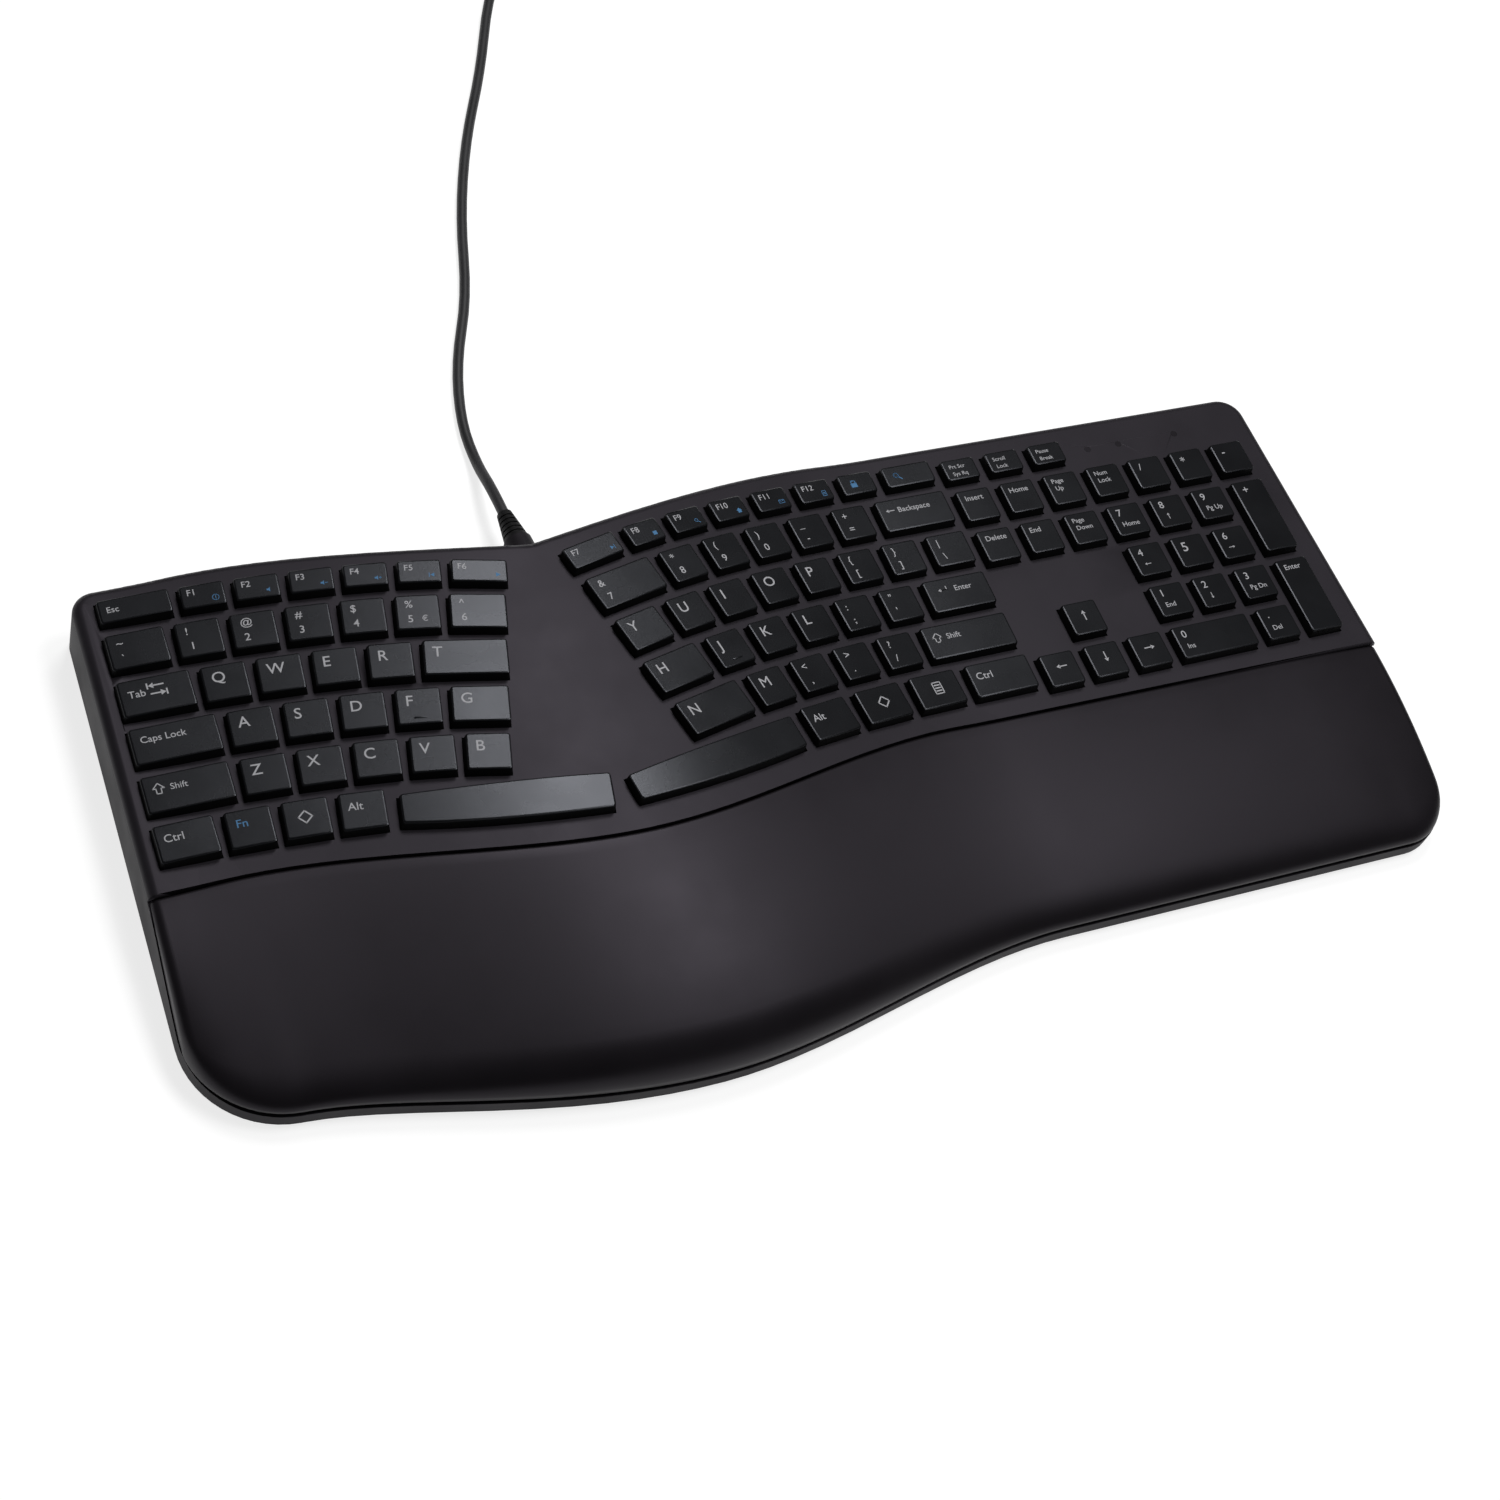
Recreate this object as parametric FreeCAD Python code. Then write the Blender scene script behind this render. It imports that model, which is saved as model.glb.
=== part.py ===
import FreeCAD, Part
import math
import os

# A wired split keyboard with a raised middle, two fans of curved key rows, a number pad and a
# built-in cushioned palm rest. Millimetres. X runs to the user's right, Y away from the user and
# Z up. Sizes are worked out from the split line (x = 0) and the floor (z = 0); at the end the whole
# part is moved so that its origin is under the middle of the casing.

# Heights of the deck: level at both ends, with one smooth hump over the split.
DECK_HEIGHT = 25.2
HUMP_HEIGHT = 12.0
HUMP_HALF_WIDTH = 152.0

# Plan of the casing.
LEFT_REAR_X = -156.0
LEFT_FRONT_X = -165.6
RIGHT_REAR_X = 317.6
RIGHT_FRONT_X = 320.0
REAR_LEFT_Y = 111.6
REAR_RIGHT_Y = 110.1
REAR_RIGHT_END_Y = 108.3
REAR_LEFT_LEVEL_X = -121.0
REAR_RIGHT_LEVEL_X = 128.0
NOTCH_X = 3.8
NOTCH_Y = 91.3
NOTCH_RADIUS = 12.0
NOTCH_LEFT_LEAD = (-40.0, 98.0)
NOTCH_RIGHT_LEAD = (45.0, 98.6)
REAR_LEFT_LEAD = 38.0
REAR_RIGHT_LEAD = 39.0
REAR_LEFT_RADIUS = 8.5
REAR_RIGHT_RADIUS = 10.0
FRONT_Y = -92.4
FRONT_RIGHT_Y = -94.2
FRONT_LEFT_Y = -88.9
FRONT_BULGE_X = 7.7
FRONT_BULGE_Y = -112.4
FRONT_RIGHT_LEVEL_X = 150.0
FRONT_LEFT_LEVEL_X = -131.0
FRONT_LEFT_RADIUS = 34.0
FRONT_LEFT_RISE = 2.8
FRONT_LEFT_LEAD = 34.3
FRONT_BULGE_LEAD = 57.7
FRONT_RIGHT_RADIUS = 21.0

# The seam between the key deck and the palm rest.
SEAM_LEFT_Y = -9.2
SEAM_MIDDLE_X = 4.7
SEAM_MIDDLE_Y = -30.8
SEAM_RIGHT_Y = -12.6
SEAM_END_Y = -15.0
SEAM_LEFT_LEVEL_X = -138.0
SEAM_RIGHT_LEVEL_X = 133.0
SEAM_GAP = 0.5

# A height above the whole casing, where solids that only cut or clip it end.
CLEAR_ABOVE = 60.0

# Casing walls.
FOOT_HEIGHT = 1.5
WALL = 2.4
FLOOR_THICKNESS = 2.5
DECK_THICKNESS = 2.2
DECK_SKIRT = 3.8
DECK_EDGE_RADIUS = 3.6
PARTING_GAP = 0.2
RIM_HEIGHT = 6.8
RIM_LEVEL_Y = -82.0

# Keys.
KEY_RISE = 3.8
KEY_SKIRT = 2.4
KEY_FLARE = 1.0
KEY_EDGE = 0.6
KEY_TRAVEL = 3.0
KEY_CLEARANCE = 0.35
KEY_DEPTH = 14.4
FUNCTION_KEY_DEPTH = 9.6

# The left fan: rows are arcs about one centre in front of the keyboard.
LEFT_FAN_X = -158.3
LEFT_FAN_RADIUS = 428.5
LEFT_ROW_0_Y = -0.7
LEFT_ROW_PITCH = 18.96
LEFT_FUNCTION_ROW = 95.2
LEFT_KEY_PITCH = 18.6
LEFT_KEY_GAP = 3.2
LEFT_ROW_START = 3.4
LEFT_ROW_STEP = 1.2

# The right fan: its rows run straight past the fan's own axis.
RIGHT_FAN_X = 151.5
RIGHT_FAN_RADIUS = 438.3
RIGHT_ROW_0_Y = -4.9
RIGHT_ROW_PITCH = 19.21
RIGHT_FUNCTION_ROW = 96.2
RIGHT_KEY_PITCH = 18.85
RIGHT_KEY_GAP = 4.45
RIGHT_ROW_END = 20.2

# The straight grid of arrows, navigation keys and number pad.
PAD_X = 233.8
PAD_Y = -7.3
PAD_PITCH_X = 19.2
PAD_PITCH_Y = 19.3
PAD_KEY_WIDTH = 14.3
PAD_FUNCTION_Y = 89.5

# Space bars, by the ends of their front edges and their depths there.
SPACE_LEFT_OUTER = (-76.4, -8.0)
SPACE_LEFT_INNER = (-6.0, -22.2)
SPACE_LEFT_DEPTHS = (11.2, 13.6)
SPACE_RIGHT_OUTER = (71.9, -11.9)
SPACE_RIGHT_INNER = (3.4, -21.7)
SPACE_RIGHT_DEPTHS = (13.0, 10.4)
SPACE_FRONT_BULGE = 1.8
SPACE_REAR_BULGE = 0.2

# Layers under the keys, from the top down.
DOME_SHEET_GAP = 0.5
DOME_SHEET_THICKNESS = 0.8
CIRCUIT_THICKNESS = 0.4
PLATE_THICKNESS = 1.2
PLATE_INSET = 5.0
RIB_THICKNESS = 1.6
RIB_XS = (-135.0, -100.0, -60.0, 75.0, 120.0, 165.0, 235.0, 292.0)
RIB_FRONT_Y = 4.0
RIB_REAR_Y = 84.0

# Posts and screws that hold the deck and the palm rest to the bottom shell.
POST_RADIUS = 3.6
POST_CLEARANCE = 0.4
DECK_POSTS = ((0.0, 14.0), (0.0, 66.0), (202.0, 38.5), (262.0, 97.0))
PALM_SCREWS = ((-70.0, -55.0), (30.0, -70.0), (150.0, -50.0), (215.0, -50.0))
SCREW_RADIUS = 1.4
SCREW_HEAD_RADIUS = 2.7
SCREW_HEAD_HEIGHT = 1.6
SCREW_LENGTH = 9.0

# Palm rest.
PALM_STEP = 0.4
PALM_FRONT_HEIGHT = 16.5
PALM_FRONT_HUMP = 7.5
PALM_ROLL = 13.0
PALM_CORNER_ROLL = 8.0
PALM_EDGE_Z = 8.6
PALM_DRAW_IN = 1.4
PALM_CROWN = 1.6
PALM_SIDE_INSET = 0.4
PALM_SIDE_ROLL = 5.0
PALM_SIDE_DROP = 1.8
CUSHION_THICKNESS = 6.0
CORE_END_INSET = 6.5

# Fold-out legs under the palm rest.
LEG_XS = (-108.0, 258.0)
LEG_PIN_Y = -40.0
LEG_WIDTH = 46.0
LEG_LENGTH = 19.0
LEG_THICKNESS = 4.0
LEG_PIN_RADIUS = 1.5
LEG_PIN_LENGTH = 1.6
LEG_PIN_CLEARANCE = 0.06
LEG_CLEARANCE = 0.4
LEG_PIN_Z = 5.2
LEG_PAD_THICKNESS = 1.2
LEG_PAD_RAISE = 1.4
LEG_GRIP_DEPTH = 1.2
LEG_GRIP_LENGTH = 7.0
POCKET_WALL = 2.0

# Rubber feet: middle, length and width.
FEET = ((-138.0, 92.0), (0.0, 79.0), (290.0, 90.0), (-132.0, -66.0), (8.0, -92.0), (288.0, -68.0))
FOOT_LENGTH = 24.0
FOOT_WIDTH = 8.0
FOOT_SEAT = 0.6

# Controller board and indicator lenses.
BOARD_MIDDLE = (14.0, 40.0)
BOARD_SIZE = (44.0, 26.0)
BOARD_THICKNESS = 1.6
BOARD_POST = 5.0
BOARD_POST_RADIUS = 2.2
CHIP_SIZE = (12.0, 12.0, 1.2)
SOCKET_SIZE = (10.0, 4.0, 4.5)
LENS_XS = (242.0, 256.0, 282.0)
LENS_Y = 95.0
LENS_RADIUS = 1.3
LENS_CLEARANCE = 0.05
LENS_DEPTH = 4.0

# Cable boot and cord. A smooth collar of the bottom shell holds the boot's ribbed head.
BOOT_X = 8.7
BOOT_Z = 15.5
BOOT_TIP_Y = 120.7
BOOT_TIP_Z = 12.6
COLLAR_LENGTH = 14.6
COLLAR_ROOT_RADIUS = 6.2
COLLAR_END_RADIUS = 5.4
BOOT_ROOT_RADIUS = 4.9
BOOT_TIP_RADIUS = 2.9
BOOT_RIBS = 5
BOOT_FIRST_GROOVE = 2.0
BOOT_LAST_GROOVE = 0.8
BOOT_GROOVE = 0.55
BOOT_NECK_RADIUS = 3.9
BOOT_FLANGE_RADIUS = 6.0
BOOT_FLANGE_THICKNESS = 2.0
BOOT_FLANGE_GAP = 1.4
BOOT_LEAD = 13.5
CORD_RADIUS = 2.1

# The cord's free route on the floor, then a tied coil, then a short tail to the plug.
ROUTE = (
    (10.2, 151.0, 3.0),
    (11.0, 172.0, 2.1),
    (19.0, 201.0, 2.1),
    (34.0, 232.0, 2.1),
    (45.0, 272.0, 2.1),
    (61.0, 312.0, 2.1),
    (80.0, 348.0, 2.1),
    (97.0, 388.0, 2.6),
)
COIL_LEAD = 18.0
COIL_MIDDLE = (147.6, 421.0)
COIL_TURNS = 10
COIL_LAYERS = 4
COIL_OUTER_RADIUS = 28.0
COIL_INNER_RADIUS = 16.0
COIL_START_ANGLE = 157.6
COIL_END_ANGLE = 90.0
COIL_STEPS_PER_LAYER = 10
COIL_LAYER_PITCH = 4.75
TIE_ANGLE = -60.0
TIE_THICKNESS = 1.2
TIE_WIDTH = 8.0
TIE_GAP = 0.3
TIE_SIDE_GAP = 1.3
TAIL_LEAD = 18.0
TAIL = ((38.0, -0.6, 10.2), (56.0, 0.5, 4.0), (68.0, 0.5, 4.0))

# USB plug.
PLUG_BODY = (26.0, 15.6, 8.0)
PLUG_SHELL = (12.0, 12.0, 4.5)
PLUG_SHELL_WALL = 0.4
PLUG_TONGUE_THICKNESS = 1.8
PLUG_TONGUE_SETBACK = 0.8
PLUG_CORNER = 1.6


def vec(x, y, z=0.0):
    return FreeCAD.Vector(x, y, z)


def edge(a, b):
    return Part.makeLine(a, b)


def bezier(poles):
    curve = Part.BezierCurve()
    curve.setPoles(poles)
    return curve.toShape()


def eased(a, b):
    """A curve from a to b that leaves a and reaches b level with the X axis."""
    third = (b.x - a.x) / 3
    return bezier([a, a + vec(third, 0), b - vec(third, 0), b])


def ease(t):
    """The same curve as a number: 1 at t = 0, falling smoothly to 0 at t = 1."""
    t = min(max(t, 0.0), 1.0)
    return 1 - 3 * t * t + 2 * t**3


def arc_at(a, corner, b):
    """The arc that touches the line a-corner at a and the line corner-b at b."""
    half = (b - a).Length / 2
    leg = (corner - a).Length
    middle = (a + b) / 2
    towards = (corner - middle).normalize()
    turn = math.acos(min(1.0, half / leg))
    return Part.Arc(a, middle + towards * (half * math.tan(turn / 2)), b).toShape()


def rounded(before, corner, after, radius):
    """A corner rounded to a radius: where the arc starts, the arc and where it ends."""
    to_before = (before - corner).normalize()
    to_after = (after - corner).normalize()
    half_angle = to_before.getAngle(to_after) / 2
    reach = radius / math.tan(half_angle)
    start = corner + to_before * reach
    end = corner + to_after * reach
    return start, arc_at(start, corner, end), end


def prism(wire, z0, z1):
    face = Part.Face(wire)
    face.translate(vec(0, 0, z0))
    return face.extrude(vec(0, 0, z1 - z0))


def box(x0, x1, y0, y1, z0, z1):
    return Part.makeBox(x1 - x0, y1 - y0, z1 - z0, vec(x0, y0, z0))


def post(x, y, z0, z1, radius):
    return Part.makeCylinder(radius, z1 - z0, vec(x, y, z0))


def hump(x):
    return HUMP_HEIGHT * ease(abs(x) / HUMP_HALF_WIDTH)


def hump_slope(x):
    t = min(abs(x) / HUMP_HALF_WIDTH, 1.0)
    return math.copysign(6 * HUMP_HEIGHT / HUMP_HALF_WIDTH * (t - t * t), -x)


def seam_y(x):
    if x < SEAM_MIDDLE_X:
        t = (SEAM_MIDDLE_X - x) / (SEAM_MIDDLE_X - SEAM_LEFT_LEVEL_X)
        return SEAM_LEFT_Y + (SEAM_MIDDLE_Y - SEAM_LEFT_Y) * ease(t)
    if x < SEAM_RIGHT_LEVEL_X:
        t = (x - SEAM_MIDDLE_X) / (SEAM_RIGHT_LEVEL_X - SEAM_MIDDLE_X)
        return SEAM_RIGHT_Y + (SEAM_MIDDLE_Y - SEAM_RIGHT_Y) * ease(t)
    t = (x - SEAM_RIGHT_LEVEL_X) / (RIGHT_FRONT_X - SEAM_RIGHT_LEVEL_X)
    return SEAM_RIGHT_Y + (SEAM_END_Y - SEAM_RIGHT_Y) * t


def casing_outline(inset=0.0):
    """The whole casing seen from above, drawn in by an inset, as one closed wire at z = 0."""
    front_left_y = FRONT_LEFT_Y + inset
    rear_left = vec(LEFT_REAR_X + inset, REAR_LEFT_Y - inset)
    left_front = vec(LEFT_FRONT_X + inset, front_left_y + FRONT_LEFT_RISE)
    front_level = vec(FRONT_LEFT_LEVEL_X, front_left_y)
    notch = vec(NOTCH_X, NOTCH_Y - inset)
    left_lead = vec(NOTCH_LEFT_LEAD[0], NOTCH_LEFT_LEAD[1] - inset)
    right_lead = vec(NOTCH_RIGHT_LEAD[0], NOTCH_RIGHT_LEAD[1] - inset)
    rear_left_level = vec(REAR_LEFT_LEVEL_X, REAR_LEFT_Y - inset)
    rear_right_level = vec(REAR_RIGHT_LEVEL_X, REAR_RIGHT_Y - inset)
    rear_right = vec(RIGHT_REAR_X - inset, REAR_RIGHT_END_Y - inset)
    front_right = vec(RIGHT_FRONT_X - inset, FRONT_RIGHT_Y + inset)
    bulge = vec(FRONT_BULGE_X, FRONT_BULGE_Y + inset)
    front_right_level = vec(FRONT_RIGHT_LEVEL_X, FRONT_Y + inset)
    a0, corner_a, a1 = rounded(left_front, rear_left, rear_left_level, REAR_LEFT_RADIUS - inset)
    n0, notch_arc, n1 = rounded(left_lead, notch, right_lead, NOTCH_RADIUS + inset)
    b0, corner_b, b1 = rounded(rear_right_level, rear_right, front_right, REAR_RIGHT_RADIUS - inset)
    c0, corner_c, c1 = rounded(rear_right, front_right, front_right_level, FRONT_RIGHT_RADIUS - inset)
    d0, corner_d, d1 = rounded(front_level, left_front, rear_left, FRONT_LEFT_RADIUS - inset)
    front_lead = front_level + (front_level - d0).normalize() * FRONT_LEFT_LEAD
    rear_lead = rear_right_level - (b0 - rear_right_level).normalize() * REAR_RIGHT_LEAD
    third = (FRONT_RIGHT_LEVEL_X - FRONT_BULGE_X) / 3
    right_front_lead = front_right_level - (c1 - front_right_level).normalize() * third
    edges = [
        corner_a,
        edge(a1, rear_left_level),
        bezier([rear_left_level, rear_left_level + vec(REAR_LEFT_LEAD, 0), left_lead, n0]),
        notch_arc,
        bezier([n1, right_lead, rear_lead, rear_right_level]),
        edge(rear_right_level, b0),
        corner_b,
        edge(b1, c0),
        corner_c,
        edge(c1, front_right_level),
        bezier([front_right_level, right_front_lead, bulge + vec(third, 0), bulge]),
        bezier([bulge, bulge - vec(FRONT_BULGE_LEAD, 0), front_lead, front_level]),
        edge(front_level, d0),
        corner_d,
        edge(d1, a0),
    ]
    return Part.Wire(edges)


def below_deck(drop):
    """All the space under the deck's top surface, lowered by a drop."""
    level = DECK_HEIGHT - drop
    top = level + HUMP_HEIGHT
    left, right, floor = LEFT_FRONT_X - 40, RIGHT_FRONT_X + 40, -20.0
    rear, front = REAR_LEFT_Y + 40, FRONT_BULGE_Y - 40
    low_left, low_right = vec(-HUMP_HALF_WIDTH, 0, level), vec(HUMP_HALF_WIDTH, 0, level)
    third = HUMP_HALF_WIDTH / 3
    crest = vec(0, 0, top)
    edges = [
        edge(vec(left, 0, floor), vec(left, 0, level)),
        edge(vec(left, 0, level), low_left),
        bezier([low_left, low_left + vec(third, 0), crest - vec(third, 0), crest]),
        bezier([crest, crest + vec(third, 0), low_right - vec(third, 0), low_right]),
        edge(low_right, vec(right, 0, level)),
        edge(vec(right, 0, level), vec(right, 0, floor)),
        edge(vec(right, 0, floor), vec(left, 0, floor)),
    ]
    face = Part.Face(Part.Wire(edges))
    face.translate(vec(0, front, 0))
    return face.extrude(vec(0, rear - front, 0))


def behind_seam(gap):
    """The space behind the seam, moved away from it by a gap, as a tall solid."""
    left, right, rear = LEFT_FRONT_X - 20, RIGHT_FRONT_X + 20, REAR_LEFT_Y + 20
    level_left = vec(SEAM_LEFT_LEVEL_X, SEAM_LEFT_Y + gap)
    middle = vec(SEAM_MIDDLE_X, SEAM_MIDDLE_Y + gap)
    level_right = vec(SEAM_RIGHT_LEVEL_X, SEAM_RIGHT_Y + gap)
    end = vec(RIGHT_FRONT_X, SEAM_END_Y + gap)
    edges = [
        edge(vec(left, SEAM_LEFT_Y + gap), level_left),
        eased(level_left, middle),
        eased(middle, level_right),
        edge(level_right, end),
        edge(end, vec(right, end.y)),
        edge(vec(right, end.y), vec(right, rear)),
        edge(vec(right, rear), vec(left, rear)),
        edge(vec(left, rear), vec(left, SEAM_LEFT_Y + gap)),
    ]
    return prism(Part.Wire(edges), -1, CLEAR_ABOVE)


def top_height(x):
    return DECK_HEIGHT + hump(x)


# Keys. A key is a flat-topped cap: its middle, the turn of its row, its width and its depth.


def key_corners(key, grow):
    x, y, turn, width, depth = key
    along = vec(math.cos(turn), math.sin(turn))
    across = vec(-math.sin(turn), math.cos(turn))
    half_w, half_d = width / 2 + grow, depth / 2 + grow
    signs = ((-1, -1), (1, -1), (1, 1), (-1, 1))
    return [vec(x, y) + along * (half_w * i) + across * (half_d * j) for i, j in signs]


def key_level(key, grow, rise):
    """The cap's outline at one level, tipped to follow the deck's hump."""
    slope = hump_slope(key[0])
    middle = top_height(key[0]) + rise
    points = [p + vec(0, 0, middle + slope * (p.x - key[0])) for p in key_corners(key, grow)]
    return Part.makePolygon(points + points[:1])


def key_cap(key):
    levels = [
        key_level(key, KEY_FLARE, -KEY_SKIRT),
        key_level(key, 0, KEY_RISE - KEY_EDGE),
        key_level(key, -KEY_EDGE, KEY_RISE),
    ]
    return Part.makeLoft(levels, True, True)


def key_hole(key):
    """The opening in the deck that a cap slides through."""
    corners = key_corners(key, KEY_FLARE + KEY_CLEARANCE)
    return prism(Part.makePolygon(corners + corners[:1]), 0, CLEAR_ABOVE)


def fan_key(fan_x, fan_y, radius, start, end, depth):
    """A key on a fan's row, from start to end along the row's middle line."""
    middle_radius = radius + depth / 2
    along = (start + end) / 2
    if fan_x > 0 and along > 0:
        return (fan_x + along, fan_y + middle_radius, 0.0, end - start, depth)
    angle = along / middle_radius
    x = fan_x + middle_radius * math.sin(angle)
    y = fan_y + middle_radius * math.cos(angle)
    return (x, y, -angle, end - start, depth)


# Each row lists its nodes from the outer end of the fan, with the keys' widths in key pitches.
LEFT_ROWS = (
    (("key_control_left", (1.25,)), ("keys_function_to_alt", (1, 1, 1))),
    (("key_shift_left", (1.75,)), ("keys_z_to_b", (1, 1, 1, 1, 1))),
    (("key_caps_lock", (1.75,)), ("keys_a_to_g", (1, 1, 1, 1, 1.25))),
    (("key_tab", (1.5,)), ("keys_q_to_t", (1, 1, 1, 1, 1.75))),
    (("key_backquote", (1.25,)), ("keys_1_to_6", (1, 1, 1, 1, 1, 1.25))),
    (("key_escape", (1.5,)), ("keys_f1_to_f6", (1, 1, 1, 1, 1, 1.25))),
)
RIGHT_ROWS = (
    (("key_control_right", (1.6,)), ("keys_menu_to_alt", (1.25, 1.25, 1.25))),
    (("key_shift_right", (2.13,)), ("keys_n_to_slash", (1, 1, 1, 1, 1.67))),
    (("key_enter", (1.63,)), ("keys_h_to_quote", (1, 1, 1, 1, 1, 1.44))),
    (("key_backslash", (1.1,)), ("keys_y_to_bracket", (1, 1, 1, 1, 1, 1, 1.16))),
    (("key_backspace", (1.8,)), ("keys_7_to_equals", (1, 1, 1, 1, 1, 1.7))),
    (("keys_shortcut", (1.33, 1)), ("keys_f7_to_f12", (1, 1, 1, 1, 1, 1.4))),
)
# Number pad and navigation keys: node, then column, row, columns wide and rows deep of each key.
PAD_KEYS = (
    ("keys_insert_to_page_up", ((-3, 4, 1, 1), (-2, 4, 1, 1), (-1, 4, 1, 1))),
    ("keys_delete_to_page_down", ((-3, 3, 1, 1), (-2, 3, 1, 1), (-1, 3, 1, 1))),
    ("keys_arrows", ((-3, 0, 1, 1), (-2, 0, 1, 1), (-1, 0, 1, 1), (-2, 1, 1, 1))),
    ("pad_keys_top_row", ((0, 4, 1, 1), (1, 4, 1, 1), (2, 4, 1, 1), (3, 4, 1, 1))),
    ("pad_keys_7_to_9", ((0, 3, 1, 1), (1, 3, 1, 1), (2, 3, 1, 1))),
    ("pad_keys_4_to_6", ((0, 2, 1, 1), (1, 2, 1, 1), (2, 2, 1, 1))),
    ("pad_keys_1_to_3", ((0, 1, 1, 1), (1, 1, 1, 1), (2, 1, 1, 1))),
    ("pad_key_plus", ((3, 2, 1, 2),)),
    ("pad_key_enter", ((3, 0, 1, 2),)),
    ("pad_key_0", ((0, 0, 2, 1),)),
    ("pad_key_point", ((2, 0, 1, 1),)),
)
PAD_FUNCTION_COLUMNS = (-3, -2, -1)


def left_fan_keys(keys):
    centre_y = LEFT_ROW_0_Y - LEFT_FAN_RADIUS
    for row, groups in enumerate(LEFT_ROWS):
        function_row = row == len(LEFT_ROWS) - 1
        depth = FUNCTION_KEY_DEPTH if function_row else KEY_DEPTH
        offset = LEFT_FUNCTION_ROW if function_row else row * LEFT_ROW_PITCH
        along = LEFT_ROW_START + LEFT_ROW_STEP * row
        for node, widths in groups:
            for units in widths:
                end = along + units * LEFT_KEY_PITCH - LEFT_KEY_GAP
                key = fan_key(LEFT_FAN_X, centre_y, LEFT_FAN_RADIUS + offset, along, end, depth)
                keys.setdefault(node, []).append(key)
                along = end + LEFT_KEY_GAP


def right_fan_keys(keys):
    centre_y = RIGHT_ROW_0_Y - RIGHT_FAN_RADIUS
    for row, groups in enumerate(RIGHT_ROWS):
        function_row = row == len(RIGHT_ROWS) - 1
        depth = FUNCTION_KEY_DEPTH if function_row else KEY_DEPTH
        offset = RIGHT_FUNCTION_ROW if function_row else row * RIGHT_ROW_PITCH
        along = RIGHT_ROW_END
        for node, widths in groups:
            for units in widths:
                start = along - units * RIGHT_KEY_PITCH + RIGHT_KEY_GAP
                key = fan_key(RIGHT_FAN_X, centre_y, RIGHT_FAN_RADIUS + offset, start, along, depth)
                keys.setdefault(node, []).append(key)
                along = start - RIGHT_KEY_GAP


def pad_keys(keys):
    gap_x = PAD_PITCH_X - PAD_KEY_WIDTH
    gap_y = PAD_PITCH_Y - KEY_DEPTH
    for node, places in PAD_KEYS:
        for column, row, wide, deep in places:
            width = wide * PAD_PITCH_X - gap_x
            depth = deep * PAD_PITCH_Y - gap_y
            x = PAD_X + column * PAD_PITCH_X + width / 2
            y = PAD_Y + row * PAD_PITCH_Y + depth / 2
            keys.setdefault(node, []).append((x, y, 0.0, width, depth))
    for column in PAD_FUNCTION_COLUMNS:
        x = PAD_X + column * PAD_PITCH_X + PAD_KEY_WIDTH / 2
        y = PAD_FUNCTION_Y + FUNCTION_KEY_DEPTH / 2
        key = (x, y, 0.0, PAD_KEY_WIDTH, FUNCTION_KEY_DEPTH)
        keys.setdefault("keys_print_to_pause", []).append(key)


def space_outline(outer, inner, depths, grow):
    """A space bar seen from above: a bulging front and rear edge joined by straight ends."""
    a, b = vec(*outer), vec(*inner)
    along = (b - a).normalize()
    across = vec(-along.y, along.x)
    if across.y < 0:
        across = across * -1
    corners = [
        a - along * grow - across * grow,
        b + along * grow - across * grow,
        b + along * grow + across * (depths[1] + grow),
        a - along * grow + across * (depths[0] + grow),
    ]
    front_middle = (corners[0] + corners[1]) / 2 - across * SPACE_FRONT_BULGE
    rear_middle = (corners[2] + corners[3]) / 2 + across * SPACE_REAR_BULGE
    edges = [
        Part.Arc(corners[0], front_middle, corners[1]).toShape(),
        edge(corners[1], corners[2]),
        Part.Arc(corners[2], rear_middle, corners[3]).toShape(),
        edge(corners[3], corners[0]),
    ]
    return Part.Wire(edges)


def space_bar(outer, inner, depths):
    """A long bar whose top and foot follow the hump."""
    foot = space_outline(outer, inner, depths, KEY_FLARE)
    head = space_outline(outer, inner, depths, 0)
    foot.translate(vec(0, 0, DECK_HEIGHT - KEY_SKIRT))
    head.translate(vec(0, 0, DECK_HEIGHT + HUMP_HEIGHT + KEY_RISE))
    bar = Part.makeLoft([foot, head], True, True)
    bar = bar.common(below_deck(-KEY_RISE))
    return bar.cut(below_deck(KEY_SKIRT)).Solids[0]


def space_hole(outer, inner, depths):
    return prism(space_outline(outer, inner, depths, KEY_FLARE + KEY_CLEARANCE), 0, CLEAR_ABOVE)


SPACES = {
    "key_space_left": (SPACE_LEFT_OUTER, SPACE_LEFT_INNER, SPACE_LEFT_DEPTHS),
    "key_space_right": (SPACE_RIGHT_OUTER, SPACE_RIGHT_INNER, SPACE_RIGHT_DEPTHS),
}


# Casing.


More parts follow.
